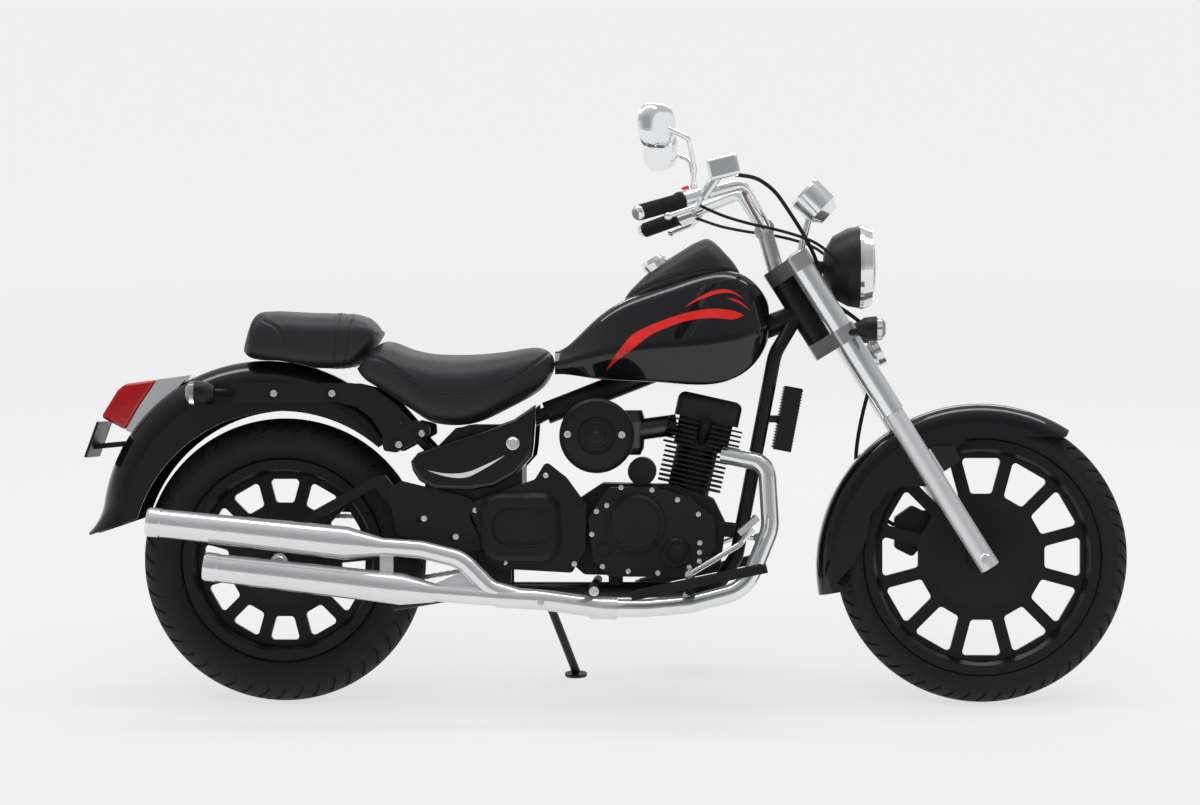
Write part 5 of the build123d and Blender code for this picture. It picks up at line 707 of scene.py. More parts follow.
COVER_STRIPES = (
    ([(427.0, 470.5), (448.0, 473.6), (468.0, 471.8), (488.0, 463.6), (505.0, 455.4)],
     [(427.0, 470.5), (446.0, 476.4), (466.0, 477.4), (487.0, 467.2), (505.0, 455.4)]),
)
STRIPE_STEPS = 64
STRIPE_LINES = 5
STRIPE_LIFT = 0.35
SIDE_DEPTH = 130.0


def make_stripes(name, node, outlines, material):
    """Thin painted shapes laid on a surface, on both sides."""
    surface = surface_of(node, upright=False)
    pile = Pile()
    for upper, lower in outlines:
        grid = []
        for top, low in zip(pixel_line(upper, STRIPE_STEPS), pixel_line(lower, STRIPE_STEPS)):
            for k in range(STRIPE_LINES):
                spot = top.lerp(low, k / (STRIPE_LINES - 1))
                hit, normal, _, _ = surface.ray_cast(EYE, pixel_ray(spot.x, spot.y))
                if hit is None:
                    near = PLACE @ pixel_on_plane(spot.x, spot.y, -SIDE_DEPTH)
                    hit, normal, _, _ = surface.find_nearest(near)
                grid.append((UNPLACE @ hit) + (UNPLACE.to_3x3() @ normal).normalized() * STRIPE_LIFT)
        for side in (1, -1):
            faces = []
            for i in range(STRIPE_STEPS - 1):
                for k in range(STRIPE_LINES - 1):
                    a, b = i * STRIPE_LINES + k, (i + 1) * STRIPE_LINES + k
                    faces.append((a, a + 1, b + 1, b)[::side])
            pile.add([Vector((p.x, p.y * side, p.z)) for p in grid], faces)
    pile.piece(name, material, "chassis", "gloss_black_paint", 60.0)


make_stripes("tank_stripes", "fuel_tank", TANK_STRIPES, RED_STRIPE)
make_stripes("cover_swooshes", "side_covers", COVER_STRIPES, SILVER_STRIPE)

# Seats and tank pad: moulded foam under sewn vinyl, with seams, piping and stitches

# Stations along the bike: place, lowest, highest and half width
PILLION_STATIONS = (
    (-86.0, 788.0, 824.0, 92.0), (-66.0, 784.0, 880.0, 112.0), (-30.0, 777.0, 893.0, 120.0),
    (70.0, 764.0, 890.0, 124.0), (160.0, 768.0, 887.0, 122.0), (190.0, 796.0, 880.0, 120.0),
    (208.0, 818.0, 866.0, 116.0), (221.0, 834.0, 852.0, 104.0),
)
RIDER_STATIONS = (
    (175.0, 745.0, 776.0, 118.0), (205.0, 727.0, 808.0, 134.0), (240.0, 705.0, 824.0, 144.0),
    (300.0, 666.0, 805.0, 152.0), (350.0, 637.0, 796.0, 152.0), (430.0, 636.0, 794.0, 144.0),
    (510.0, 670.0, 801.0, 118.0), (580.0, 709.0, 810.0, 84.0), (618.5, 747.0, 800.0, 66.0),
)
PAD_STATIONS = (
    (778.0, 900.0, 921.0, 34.0), (800.0, 905.0, 948.0, 47.0), (850.0, 925.0, 993.0, 54.0),
    (910.0, 940.0, 1031.0, 57.0), (945.0, 945.0, 1052.0, 57.0), (975.0, 946.0, 1058.0, 55.0),
    (1020.0, 946.0, 1016.0, 48.0), (1044.0, 944.0, 986.0, 40.0),
)
FORM_ROWS = 151
FORM_SIDES = 112
# Rings that close an end: share of the last ring's size, and how far they bulge
END_RINGS = ((0.8, 1.5), (0.5, 2.6), (0.2, 3.0))


def between(table, x):
    """The other columns of a table at x, smooth along its first column."""
    last = len(table) - 2
    k = max((i for i in range(last + 1) if table[i][0] <= x), default=0)

    def slope(i):
        a, b = table[max(i - 1, 0)], table[min(i + 1, last + 1)]
        return [(b[c] - a[c]) / (b[0] - a[0]) for c in range(1, len(a))]

    here, there = table[k], table[k + 1]
    span = there[0] - here[0]
    t = min(1.0, max(0.0, (x - here[0]) / span))
    made = []
    for c, (m0, m1) in enumerate(zip(slope(k), slope(k + 1)), 1):
        made.append(
            (2 * t**3 - 3 * t**2 + 1) * here[c] + (t**3 - 2 * t**2 + t) * span * m0
            + (3 * t**2 - 2 * t**3) * there[c] + (t**3 - t**2) * span * m1
        )
    return made


def signed_power(value, power):
    return math.copysign(abs(value) ** power, value)


def foam_form(stations, end_round, crown, waist):
    """Points and faces of a crowned closed form along the bike, in upright millimetres."""
    start, end = stations[0][0], stations[-1][0]
    points = []
    for i in range(FORM_ROWS):
        share = i / (FORM_ROWS - 1)
        x = start + (end - start) * (0.5 - 0.5 * math.cos(math.pi * share)) ** 0.92
        low, high, half = between(stations, x)
        near = min(x - start, end - x)
        inset = 0.0
        if near < end_round:
            inset = end_round * (1 - math.sqrt(max(0.0, 1 - (1 - near / end_round) ** 2)))
        low, high, half = low + inset * 0.8, high - inset * 0.8, half - inset
        middle = low + (high - low) * waist
        for k in range(FORM_SIDES):
            angle = math.tau * k / FORM_SIDES
            up, across = math.sin(angle), math.cos(angle)
            power = 2 / crown if up > 0 else 0.45
            reach = high - middle if up > 0 else middle - low
            y, rise = half * signed_power(across, power), reach * signed_power(up, power)
            points.append(Vector((x, y, middle + rise)))
    faces = ring_faces(FORM_ROWS, FORM_SIDES)
    for row, outward in ((0, -1), (FORM_ROWS - 1, 1)):
        ring = list(range(row * FORM_SIDES, (row + 1) * FORM_SIDES))
        edge = [points[i] for i in ring]
        centre = sum(edge, Vector()) / FORM_SIDES
        for share, bulge in END_RINGS:
            inner = list(range(len(points), len(points) + FORM_SIDES))
            points.extend(spot.lerp(centre, 1 - share) + Vector((outward * bulge, 0, 0)) for spot in edge)
            for k in range(FORM_SIDES):
                n = (k + 1) % FORM_SIDES
                faces.append((ring[k], ring[n], inner[n], inner[k])[::outward])
            ring = inner
        faces.append(tuple(ring[::outward]))
    return points, faces


def pressed(points, normals, seams):
    """Every point goes in along a seam and swells a little beside it; wide soft hollows come on top."""
    made = []
    for point, normal in zip(points, normals):
        depth = 0.0
        for distance, deep, wide in (seam(point) for seam in seams):
            depth += deep * math.exp(-((distance / wide) ** 2))
            depth -= deep * 0.55 * math.exp(-(((abs(distance) - wide * 3.2) / (wide * 2.2)) ** 2))
        wave = math.sin(point.x / 31.0 + point.y / 47.0) * math.sin(point.z / 29.0 + point.x / 67.0)
        made.append(point - normal * (depth - wave * 0.5))
    return made


def normals_of(points, faces):
    sums = [Vector() for _ in points]
    for face in faces:
        a, b, c = points[face[0]], points[face[1]], points[face[2]]
        normal = (b - a).cross(c - a)
        for i in face:
            sums[i] += normal
    return [s.normalized() if s.length else Vector((0, 0, 1)) for s in sums]


def outward_faces(points, faces):
    """The faces turned so that the closed form's volume is positive."""
    volume = sum(points[f[0]].dot(points[f[1]].cross(points[f[2]])) for f in faces)
    return faces if volume > 0 else [face[::-1] for face in faces]


def line_distance(curve, x, z):
    """How far a side-view point lies from a curve of side-view points."""
    best = 1e9
    for (ax, az), (bx, bz) in zip(curve, curve[1:]):
        dx, dz = bx - ax, bz - az
        t = max(0.0, min(1.0, ((x - ax) * dx + (z - az) * dz) / (dx * dx + dz * dz)))
        best = min(best, math.hypot(x - ax - dx * t, z - az - dz * t))
    return best


def side_curve(pixels):
    """A smooth side-view curve in upright millimetres from photograph pixels."""
    across, down = REAR_AXLE_PIXEL
    line = pixel_line(pixels, 40)
    return [((p.x - across) * MM_PER_PIXEL, REAR_RADIUS + (down - p.y) * MM_PER_PIXEL) for p in line]


RIDER_SEAM = side_curve([
    (353.0, 360.0), (357.0, 356.6), (370.0, 356.3), (385.0, 360.0), (405.0, 372.5), (430.0, 388.8),
    (455.0, 393.3), (480.0, 390.5), (505.0, 382.5), (530.0, 368.8), (549.0, 354.0),
])
PILLION_SEAM = side_curve([(267.5, 320.0), (281.3, 328.8), (295.0, 343.8)])
PAD_SEAM = side_curve([
    (623.0, 298.5), (640.0, 291.5), (670.0, 278.5), (700.0, 271.5), (720.0, 271.0), (744.0, 275.5),
])
# Bands over the pillion seat: place along the bike at the low and the high height, and those heights
PILLION_BANDS = ((123.0, 133.0, 770.0, 885.0), (149.5, 161.5, 770.0, 885.0))

STITCH_LENGTH = 3.6
STITCH_GAP = 1.8
THREAD_RADIUS = 0.42
THREAD_SINK = 0.5
THREAD_BOW = 0.25


def stitched(pile, line, normals, aside):
    """Short raised threads along a line on a surface, a little to one side of it."""
    travelled, start = 0.0, None
    for i in range(len(line) - 1):
        run = line[i + 1] - line[i]
        travelled += run.length
        if start is None:
            start = i
        if travelled >= STITCH_LENGTH + STITCH_GAP:
            sideways = run.normalized().cross(normals[i]) * aside
            a = line[start] + sideways + normals[i] * THREAD_RADIUS * 0.7
            b = a + (line[i + 1] - line[start]).normalized() * STITCH_LENGTH
            sink, bow = normals[i] * THREAD_SINK, normals[i] * THREAD_BOW
            thread = [a - sink, a.lerp(b, 0.15), a.lerp(b, 0.5) + bow, a.lerp(b, 0.85), b - sink]
            pile.tube(thread, THREAD_RADIUS, 5)
            travelled, start = 0.0, i + 1


def on_side(tree, curve, side):
    """Points and normals where a side-view curve lies on one side of a surface."""
    step, least = 1.2, 8.0
    line, normals = [], []
    for (ax, az), (bx, bz) in zip(curve, curve[1:]):
        count = max(1, int(math.hypot(bx - ax, bz - az) / step))
        for k in range(count):
            hit, normal = from_side(tree, ax + (bx - ax) * k / count, az + (bz - az) * k / count, side)
            if hit is not None and hit.y * side > least:
                line.append(hit)
                normals.append(normal if normal.y * side > 0 else -normal)
    return line, normals


def across_top(tree, low_x, high_x, low_z, high_z):
    """Points and normals where a slanting cross plane meets the sides and top of a surface."""
    rays, rise, reach = 260, 25.0, 400.0
    slant = (high_x - low_x) / (high_z - low_z)
    centre = Vector((low_x + slant * rise, 0, low_z + rise))
    line, normals = [], []
    for k in range(rays + 1):
        angle = math.pi * (-0.06 + 1.12 * k / rays)
        direction = Vector((slant * math.sin(angle), -math.cos(angle), math.sin(angle))).normalized()
        hit, normal, _, _ = tree.ray_cast(centre + direction * reach, -direction)
        if hit is not None:
            line.append(hit)
            normals.append(normal if normal.dot(direction) > 0 else -normal)
    return line, normals


def sewn_form(node, stations, end_round, crown, waist, curve, bands=(), keep_out=None):
    """A padded piece in place of its solid, and its seam piping and stitches."""
    name = node + "_sewn"
    points, faces = foam_form(stations, end_round, crown, waist)
    faces = outward_faces(points, faces)

    def side_seam(point):
        return line_distance(curve, point.x, point.z), 2.4 * min(1.0, abs(point.y) / 30.0), 2.2

    def band_seam(low_x, high_x, low_z, high_z):
        def found(point):
            place = low_x + (high_x - low_x) * (point.z - low_z) / (high_z - low_z)
            return point.x - place, 1.8, 2.0
        return found

    points = pressed(points, normals_of(points, faces), [side_seam, *[band_seam(*band) for band in bands]])
    if keep_out:
        points = [keep_out(point) for point in points]
    made = piece(name, points, faces, LEATHER, "chassis", 60.0, (node,))
    tree = BVHTree.FromPolygons(points, faces)
    threads, cords = Pile(), Pile()

    def sew(line, normals, lift, radius, asides):
        cords.tube([p + n * lift for p, n in zip(line[::3], normals[::3])], radius, 6)
        for aside in asides:
            stitched(threads, line, normals, aside)

    for side in (1, -1):
        sew(*on_side(tree, curve, side), 0.5, 1.1, (4.6,))
    for band in bands:
        sew(*across_top(tree, *band), 0.4, 0.9, (-4.2, 4.2))
    cords.piece(name + "_piping", LEATHER, "chassis", "seat_vinyl", 60.0)
    threads.piece(name + "_stitches", THREAD, "chassis", "seat_vinyl", 60.0)


# The rear fender's top is an arc about this side-view centre
FENDER_CENTRE = (-40.0, 405.0)
FENDER_RADIUS = 376.0
FENDER_HALF_WIDTH = 100.0


def over_fender(point):
    """The passenger seat rests on the rear fender."""
    x, z = FENDER_CENTRE
    top = z + math.sqrt(max(0.0, FENDER_RADIUS**2 - (point.x - x) ** 2)) + 0.6
    return Vector((point.x, point.y, top)) if abs(point.y) < FENDER_HALF_WIDTH and point.z < top else point


TANK_TREE = surface_of("fuel_tank", upright=False)


def over_tank(point):
    """The pad rests on the tank."""
    hit, _, _, _ = TANK_TREE.ray_cast(at(point.x, point.y, 1300.0), way(0, 0, -1))
    if hit is None:
        return point
    top = (UNPLACE @ hit).z + 0.4
    return Vector((point.x, point.y, top)) if point.z < top else point


sewn_form("rider_seat", RIDER_STATIONS, 26.0, 2.5, 0.42, RIDER_SEAM)
sewn_form("pillion_seat", PILLION_STATIONS, 20.0, 2.9, 0.40, PILLION_SEAM, PILLION_BANDS, over_fender)
sewn_form("tank_pad", PAD_STATIONS, 12.0, 2.3, 0.30, PAD_SEAM, (), over_tank)

# The tail lens with its moulded round edges

LENS_ROUND = 0.009


def make_tail_lens():
    form = bmesh.new()
    form.from_mesh(nodes["tail_lens"].data)
    bmesh.ops.remove_doubles(form, verts=form.verts, dist=1e-5)
    bmesh.ops.dissolve_limit(form, angle_limit=math.radians(2.0), verts=form.verts, edges=form.edges)
    sharp = [edge for edge in form.edges if edge.calc_face_angle(0.0) > math.radians(20.0)]
    bmesh.ops.bevel(form, geom=sharp, offset=LENS_ROUND, offset_type="OFFSET", segments=6, profile=0.5,
                    affect="EDGES", clamp_overlap=True)
    form.verts.ensure_lookup_table()
    points = [v.co.copy() for v in form.verts]
    faces = [tuple(v.index for v in face.verts) for face in form.faces]
    form.free()
    piece("tail_lens_moulded", points, faces, RED_LENS, "chassis", 30.0, ("tail_lens",), False)


make_tail_lens()

# Bolts, nuts and small trim, set on the surfaces they belong to

BOTH = (1, -1)
RIGHT = (-1,)
LEAST_OUT = 60.0
# Head radius and height, the sides that have the bolts, the nodes they sit on, and their photograph pixels
BOLTS = (
    (3.9, 4.5, BOTH, ("right_engine_cover", "left_engine_cover", "crankcase"), [
        (621.5, 486.8), (652.0, 490.0), (677.5, 499.8), (698.5, 514.3), (606.8, 505.3), (596.5, 511.3),
        (591.8, 534.3), (699.8, 543.0), (699.5, 552.5), (699.3, 561.0), (689.3, 567.3), (657.8, 573.0),
        (628.3, 571.3), (602.5, 566.5),
    ]),
    (4.2, 4.0, BOTH, ("pivot_covers",), [
        (545.8, 475.3), (475.3, 510.3), (505.0, 562.3), (574.3, 564.0), (594.5, 489.8),
    ]),
    (6.1, 5.0, BOTH, ("fender_rails",), [(273.7, 393.4), (331.9, 393.4), (398.8, 444.5), (421.5, 433.3)]),
    (6.2, 4.0, RIGHT, ("air_cleaner",), [(567.5, 434.3), (621.8, 434.8)]),
    (4.6, 3.0, RIGHT, ("pivot_covers",), [(424.0, 518.5), (455.8, 536.8)]),
    (5.5, 6.0, RIGHT, ("lower_muffler", "upper_muffler", "exhaust_header"), [
        (444.3, 606.3), (528.0, 588.8), (540.8, 603.0),
    ]),
)
# Heads above this radius have a socket
SOCKET_RADIUS = 6.0

# Washer and head profiles of the large nuts, and how far out the axles' nuts sit
FRONT_NUT = (
    [(17.0, 0), (17.0, 2.5), (15.0, 3.0)],
    [(13.5, 2.0), (13.5, 9.5), (11.5, 11.5), (6.0, 11.5), (5.0, 9.0), (0, 9.0)],
)
REAR_NUT = (
    [(19.0, -2.0), (19.0, 1.5), (17.0, 2.5)],
    [(15.0, 1.0), (15.0, 9.0), (12.5, 11.0), (7.0, 11.0), (6.0, 8.0), (0, 8.0)],
)
CLAMP_NUT = (
    [(22.0, -2.0), (22.0, 0.8), (20.0, 2.0), (14.0, 2.0)],
    [(12.0, 1.0), (12.0, 4.5), (10.5, 5.5), (0, 5.5)],
)
FRONT_NUT_OUT = 120.0
REAR_NUT_OUT = 118.0
# A point on the steering axis, and the upper clamp's top above it and ahead of it
STEER_FOOT = Vector((1552.6, 0, 305.5))
CLAMP_TOP = 809.0
FORK_AHEAD = 50.0


def beside(tree, px, py, side, least=LEAST_OUT):
    """The outermost point of a surface under a photograph pixel, if it stands out as far as it should."""
    depth = SIDE_DEPTH
    for _ in range(2):
        place = pixel_on_plane(px, py, -depth)
        hit, _ = from_side(tree, place.x, place.z, side)
        if hit is None:
            return None
        depth = abs(hit.y)
    return hit if hit.y * side > least else None


def make_bolts():
    bolts, front, rear = Pile(), Pile(), Pile()
    for radius, height, sides, names, pixels in BOLTS:
        tree = surface_of(*names)
        make = bolts.socket_bolt if radius > SOCKET_RADIUS else bolts.hex_bolt
        for px, py in pixels:
            for side in sides:
                spot = beside(tree, px, py, side)
                if spot is not None:
                    make(spot, (0, side, 0), radius, height)
    axis = (UNPLACE.to_3x3() @ STEER_UP).normalized()
    top = STEER_FOOT + axis * CLAMP_TOP + Vector((axis.z, 0, -axis.x)) * FORK_AHEAD
    for side in BOTH:
        front.nut((WHEELBASE, side * FRONT_NUT_OUT, FRONT_RADIUS), (0, side, 0), *FRONT_NUT)
        rear.nut((0, side * REAR_NUT_OUT, REAR_RADIUS), (0, side, 0), *REAR_NUT)
    for side in BOTH:
        front.nut(Vector((top.x, side * FORK_SPREAD, top.z)), axis, *CLAMP_NUT, 32)
    bolts.piece("frame_bolts", BOLT, "chassis", "bright_steel")
    front.piece("steering_bolts", BOLT, "steering", "bright_steel")
    rear.piece("rear_axle_nuts", BOLT, "chassis", "bright_steel")


make_bolts()


def make_hub_bolts(name, body, axle_x, axle_z, node, ring, count):
    """Bolts round a hub's left face."""
    tree = surface_of(node)
    pile = Pile()
    for k in range(count):
        angle = math.tau * (k + 0.25) / count
        hit, _ = from_side(tree, axle_x + ring * math.cos(angle), axle_z + ring * math.sin(angle), 1)
        if hit is not None:
            pile.hex_bolt(hit, (0, 1, 0), 6.0, 5.0)
    pile.piece(name, BOLT, body, "bright_steel")


make_hub_bolts("disc_bolts", "front_wheel_body", WHEELBASE, FRONT_RADIUS, "brake_disc", 58.0, 6)
make_hub_bolts("sprocket_bolts", "rear_wheel_body", 0.0, REAR_RADIUS, "rear_wheel", 50.0, 5)

# Rings, ridges and knobs on the covers

# Centre pixel across and down, ring radii in millimetres, hub radius, the nodes they sit on
COVER_RINGS = (
    ((596.4, 435.7), (76.0, 40.0, 28.0, 20.0), 9.0, ("air_cleaner",)),
    ((635.0, 523.8), (57.0,), 0.0, ("right_engine_cover",)),
    ((677.5, 552.0), (30.0, 25.0, 20.0), 11.0, ("right_engine_cover",)),
    ((603.5, 549.5), (15.0,), 0.0, ("right_engine_cover", "crankcase")),
)
BULGE_PIXEL = (524.0, 525.8)
BULGE_HALF, BULGE_RADIUS = 24.0, 45.0
BULGE_STEPS = 96
RIDGE_RADIUS = 2.2
KNOB_PIXEL = (512.8, 443.3)
KNOB_COLLAR = [(15.0, -3.0), (15.0, 1.4), (13.5, 2.0), (12.2, 2.0)]
KNOB_HEAD = [(12.2, 1.0), (12.2, 5.0), (10.6, 6.6), (5.0, 6.6), (4.2, 5.2), (0, 5.2)]
LUG_BOLTS = [(594.0, 591.3), (687.5, 595.5), (728.8, 509.5)]
LUG_LEAST_OUT = 30.0


def make_cover_trim():
    rings, ridges, knobs = Pile(), Pile(), Pile()
    for pixel, radii, hub, names in COVER_RINGS:
        tree = surface_of(*names)
        middle = beside(tree, *pixel, -1)
        x, z = middle.x, middle.z
        for radius in radii:
            hit, _ = from_side(tree, x, z + radius, -1)
            if hit is not None:
                rings.lathe((x, hit.y, z), (0, -1, 0), [
                    (radius - 2.2, -1.0), (radius - 0.9, 1.5), (radius + 0.9, 1.5), (radius + 2.2, -1.0)], 72)
        if hub:
            rings.lathe(middle, (0, -1, 0), [(hub, -1.0), (hub, 1.8), (hub - 1.6, 3.2), (0, 3.2)], 48)
    tree = surface_of("pivot_covers")
    middle = beside(tree, *BULGE_PIXEL, -1)
    for side in BOTH:
        line = []
        for k in range(BULGE_STEPS):
            angle = math.tau * k / BULGE_STEPS
            x = middle.x + math.copysign(BULGE_HALF, math.cos(angle)) + BULGE_RADIUS * math.cos(angle)
            hit, _ = from_side(tree, x, middle.z + BULGE_RADIUS * math.sin(angle), side)
            if hit is not None:
                line.append(hit)
        ridges.tube(line, RIDGE_RADIUS, 8, True)
    tree = surface_of("side_covers")
    for side in BOTH:
        spot = beside(tree, *KNOB_PIXEL, side)
        if spot is not None:
            knobs.lathe(spot, (0, side, 0), KNOB_COLLAR, 40)
            knobs.lathe(spot, (0, side, 0), KNOB_HEAD, 40)
    tree = surface_of("passenger_pegs", "floorboards", "frame", "exhaust_header")
    for px, py in LUG_BOLTS:
        spot = beside(tree, px, py, -1, LUG_LEAST_OUT)
        if spot is not None:
            knobs.hex_bolt(spot, (0, -1, 0), 7.5, 6.0)
    rings.piece("cover_rings", COVER_BLACK, "chassis", "black_engine_metal")
    ridges.piece("cover_ridges", PLASTIC, "chassis", "satin_black_plastic", 60.0)
    knobs.piece("cover_knobs", BOLT, "chassis", "bright_steel")


make_cover_trim()

# Grips with ribs and bright ends, lever balls and the stop switch

GRIP_END = Vector((812.0, 400.0, 1096.0))
GRIP_INWARD = (Vector((968.0, 290.0, 1146.0)) - GRIP_END).normalized()
GRIP_CAP = [(0, 0.2), (8.0, 0.2), (13.5, 1.4), (16.4, 4.5), (16.9, 8.0), (16.9, 12.0), (12.9, 12.0)]
GRIP_COLLAR = [(17.6, 113.0), (19.5, 115.0), (20.5, 118.0), (20.5, 123.0), (19.0, 124.8), (12.9, 124.8)]
# One rib's profile from its own start, the first start, and the pitch and number of ribs
GRIP_RIB = [(17.6, 0.0), (17.6, 2.6), (16.7, 3.1), (16.7, 4.0)]
RIB_START, RIB_PITCH, RIB_COUNT = 13.0, 4.5, 22
LEVER_TIP = Vector((62.0, 0, -8.0))
BALL_RADIUS = 9.0
SWITCH_ALONG = 146.0
SWITCH_PROFILE = [(8.5, 18.0), (8.5, 26.0), (7.5, 28.0), (0, 28.0)]


def make_grips():
    grips, caps, switch = Pile(), Pile(), Pile()
    profile = [(12.9, 12.0), (17.6, 12.0)]
    for k in range(RIB_COUNT):
        profile.extend((radius, RIB_START + RIB_PITCH * k + step) for radius, step in GRIP_RIB)
    profile.extend(GRIP_COLLAR)
    turns = [math.pi * k / 12 for k in range(13)]
    ball = [(BALL_RADIUS * math.sin(turn), -BALL_RADIUS * math.cos(turn)) for turn in turns]
    for side in BOTH:
        end, inward = (Vector((v.x, v.y * side, v.z)) for v in (GRIP_END, GRIP_INWARD))
        caps.lathe(end, inward, GRIP_CAP, 40)
        grips.lathe(end, inward, profile, 48)
        caps.lathe(end + inward * 12.0 + LEVER_TIP, (0, side, 0), ball, 28)
    place = GRIP_END + GRIP_INWARD * SWITCH_ALONG
    switch.lathe((place.x, -place.y, place.z), (-0.3, 0, 1.0), SWITCH_PROFILE, 32)
    grips.piece("grips_ribbed", RUBBER, "steering", "black_rubber", 35.0, ("grips",))
    caps.piece("grip_ends", CHROME, "steering", "chrome_metal")
    switch.piece("stop_switch", NEEDLE_RED, "steering", "satin_black_plastic")


make_grips()

# Speedometer dial under its glass

DIAL_FACE, DIAL_BACK = Vector((1188.0, 0, 1168.0)), Vector((1248.0, 0, 1112.0))
DIAL_IN = 2.2
DIAL_RADIUS = 37.4
DIAL_START, DIAL_SWEEP = 225.0, 270.0
MARK_COUNT, MARK_GROUP = 32, 4
MARK_OUTER = 34.5
# Inner radius and half width of a long and a short mark
LONG_MARK, SHORT_MARK = (27.5, 0.55), (31.0, 0.3)
# The needle's corners, along it and across it
NEEDLE = ((-7, -1.1), (30, -0.35), (30, 0.35), (-7, 1.1))


def make_speedometer():
    dial, marks, needle = Pile(), Pile(), Pile()
    inward = (DIAL_BACK - DIAL_FACE).normalized()
    outward = -inward
    across = Vector((0, 1, 0))
    upward = across.cross(outward)
    middle = DIAL_FACE + inward * DIAL_IN

    def flat(pile, degrees, lift, corners):
        """A flat shape on the dial, from corners along and across a direction."""
        angle = math.radians(degrees)
        direction = across * -math.cos(angle) + upward * math.sin(angle)
        sideways = direction.cross(outward)
        pile.add([middle + direction * r + sideways * s + outward * lift for r, s in corners], [(0, 1, 2, 3)])

    dial.lathe(middle, outward, [(DIAL_RADIUS, -0.8), (DIAL_RADIUS, 0.0), (0, 0.0)], 64)
    for k in range(MARK_COUNT + 1):
        inner, half = LONG_MARK if k % MARK_GROUP == 0 else SHORT_MARK
        corners = ((inner, -half), (inner, half), (MARK_OUTER, half), (MARK_OUTER, -half))
        flat(marks, DIAL_START - DIAL_SWEEP * k / MARK_COUNT, 0.25, corners)
    flat(needle, DIAL_START, 0.6, NEEDLE)
    needle.lathe(middle, outward, [(4.2, 0.0), (4.2, 1.0), (3.4, 1.4), (0, 1.4)], 24)
    dial.piece("speedometer_dial", DIAL_BLACK, "steering", "satin_black_plastic")
    marks.piece("speedometer_marks", MARK_WHITE, "steering", "satin_black_plastic")
    needle.piece("speedometer_needle", NEEDLE_RED, "steering", "satin_black_plastic")


make_speedometer()

# Floorboard ribs, pedal rubbers and oil cooler fins

# Side-view lines they lie along, from rear or low end to front or high end
BOARD_LINE = (Vector((801.0, 0, 254.0)), Vector((1101.0, 0, 317.0)))
PAD_LINE = (Vector((1040.0, 0, 392.0)), Vector((1082.0, 0, 428.0)))
COOLER_LINE = (Vector((1138.0, 0, 577.0)), Vector((1166.0, 0, 717.0)))
BOARD_RIBS, BOARD_INNER, BOARD_WIDTH, BOARD_RISE, BOARD_MARGIN = 8, 207.0, 86.0, 7.8, 10.0
PAD_RIBS, PAD_START, PAD_LENGTH, PAD_RISE = 5, 6.0, 43.0, 6.8
PAD_FROM, PAD_TO = Vector((0, -222.0, 0)), Vector((0, -154.0, 0))
FIN_COUNT, FIN_HALF_LENGTH, FIN_OUT = 21, 78.0, 19.6
FIN_SECTION = ((-1.1, 0), (-1.1, 2.6), (1.1, 2.6), (1.1, 0))
BAR_FACES = [(0, 1, 5, 4), (1, 2, 6, 5), (2, 3, 7, 6), (3, 0, 4, 7), (0, 3, 2, 1), (4, 5, 6, 7)]


def rib_section(width, height):
    return ((-0.5 * width, 0), (-0.36 * width, height), (0.36 * width, height), (0.5 * width, 0))


def make_ribs():
    ribs, fins = Pile(), Pile()
    left = Vector((0, 1, 0))

    def bar(pile, start, end, across, up, section):
        """A straight bar with a four-cornered section of distances across and up."""
        pile.add([place + across * s + up * h for place in (start, end) for s, h in section], BAR_FACES)

    rear, front = BOARD_LINE
    run = (front - rear).normalized()
    up = Vector((-run.z, 0, run.x))
    for side in BOTH:
        for k in range(BOARD_RIBS):
            y = side * (BOARD_INNER + BOARD_WIDTH * k / (BOARD_RIBS - 1))
            aside = up * BOARD_RISE + left * y
            start, end = rear + run * BOARD_MARGIN + aside, front - run * BOARD_MARGIN + aside
            bar(ribs, start, end, left, up, rib_section(6.0, 2.6))
    low, high = PAD_LINE
    run = (high - low).normalized()
    up = Vector((-run.z, 0, run.x))
    for k in range(PAD_RIBS):
        place = low + run * (PAD_START + PAD_LENGTH * k / (PAD_RIBS - 1)) + up * PAD_RISE
        bar(ribs, place + PAD_FROM, place + PAD_TO, run, up, rib_section(5.0, 2.4))
    foot, top = COOLER_LINE
    run = (top - foot).normalized()
    ahead = Vector((run.z, 0, -run.x))
    for k in range(FIN_COUNT):
        for facing in BOTH:
            place = foot + (top - foot) * (k + 0.5) / FIN_COUNT + ahead * facing * FIN_OUT
            half = left * FIN_HALF_LENGTH
            bar(fins, place - half, place + half, run, ahead * facing, FIN_SECTION)
    ribs.piece("board_ribs", RUBBER, "chassis", "black_rubber")
    fins.piece("cooler_fins", SATIN_BLACK, "chassis", "satin_black_metal")


make_ribs()

# The drive chain's links and rollers

CHAIN_REAR, CHAIN_REAR_RADIUS = Vector((0.0, 0, REAR_RADIUS)), 98.3
CHAIN_FRONT, CHAIN_FRONT_RADIUS = Vector((600.0, 0, 372.0)), 42.3
CHAIN_LEFT = 84.35
CHAIN_PITCH = 15.875
# How far out the inner and the outer plates start, and their thickness, end radius and half waist
PLATE_OUT = (3.4, 4.9)
PLATE_THICKNESS = 1.35
PLATE_RADIUS = 5.6
PLATE_WAIST = 4.3
# Radius, half length and sides of a roller and of a pin
ROUNDS = ((4.6, 3.4, 12), (2.2, 6.45, 8))


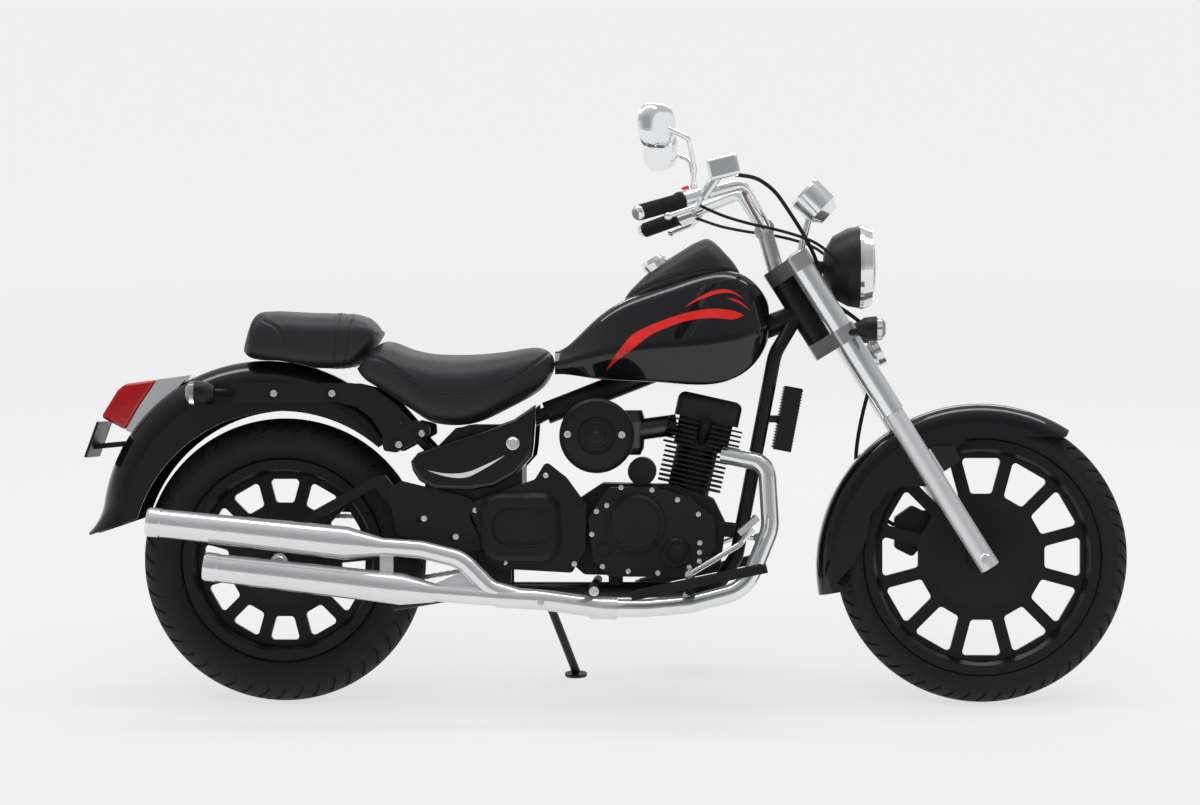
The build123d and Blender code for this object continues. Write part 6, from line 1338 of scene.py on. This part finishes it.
def chain_pins():
    """The pins' places along the loop round both sprockets, an even number of them."""
    run = CHAIN_FRONT - CHAIN_REAR
    tilt = math.atan2(run.z, run.x)
    spread = math.acos((CHAIN_REAR_RADIUS - CHAIN_FRONT_RADIUS) / run.length)

    def on_rear(angle):
        return CHAIN_REAR + Vector((math.cos(angle), 0, math.sin(angle))) * CHAIN_REAR_RADIUS

    def on_front(angle):
        return CHAIN_FRONT + Vector((math.cos(angle), 0, math.sin(angle))) * CHAIN_FRONT_RADIUS

    upper, lower = tilt + spread, tilt - spread
    path = [on_rear(upper).lerp(on_front(upper), k / 60) for k in range(60)]
    path.extend(on_front(upper - 2 * spread * k / 30) for k in range(30))
    path.extend(on_front(lower).lerp(on_rear(lower), k / 60) for k in range(60))
    path.extend(on_rear(lower - (math.tau - 2 * spread) * k / 60) for k in range(60))
    path.append(path[0])
    lengths = [0.0]
    for a, b in zip(path, path[1:]):
        lengths.append(lengths[-1] + (b - a).length)
    count = 2 * round(lengths[-1] / CHAIN_PITCH / 2)
    pins = []
    for k in range(count):
        want = lengths[-1] * k / count
        i = max(j for j in range(len(path) - 1) if lengths[j] <= want)
        pins.append(path[i].lerp(path[i + 1], (want - lengths[i]) / (lengths[i + 1] - lengths[i])))
    return pins


def make_chain():
    links = Pile()
    pins = chain_pins()
    for k, pin in enumerate(pins):
        ahead = pins[(k + 1) % len(pins)]
        along = (ahead - pin).normalized()
        up = Vector((-along.z, 0, along.x))
        outline = []
        for centre, start, waist in ((ahead, -90.0, PLATE_WAIST), (pin, 90.0, -PLATE_WAIST)):
            for j in range(7):
                angle = math.radians(start + 180.0 * j / 6)
                outline.append(centre + (along * math.cos(angle) + up * math.sin(angle)) * PLATE_RADIUS)
            outline.append((pin + ahead) / 2 + up * waist)
        n = len(outline)
        faces = [tuple(range(n)), tuple(range(n, 2 * n))[::-1]]
        faces.extend((j, (j + 1) % n, n + (j + 1) % n, n + j) for j in range(n))
        for side in BOTH:
            inner = CHAIN_LEFT + side * PLATE_OUT[k % 2]
            sides = (inner, inner + side * PLATE_THICKNESS)
            links.add([Vector((p.x, y, p.z)) for y in sides for p in outline], faces)
        for radius, half, sides in ROUNDS:
            foot = (pin.x, CHAIN_LEFT - half, pin.z)
            links.lathe(foot, (0, 1, 0), [(radius, 0), (radius, 2 * half)], sides)
    links.piece("drive_chain_links", STEEL, "chassis", "bright_steel", 35.0, ("drive_chain",))


make_chain()

bpy.context.scene.view_settings.view_transform = "Standard"
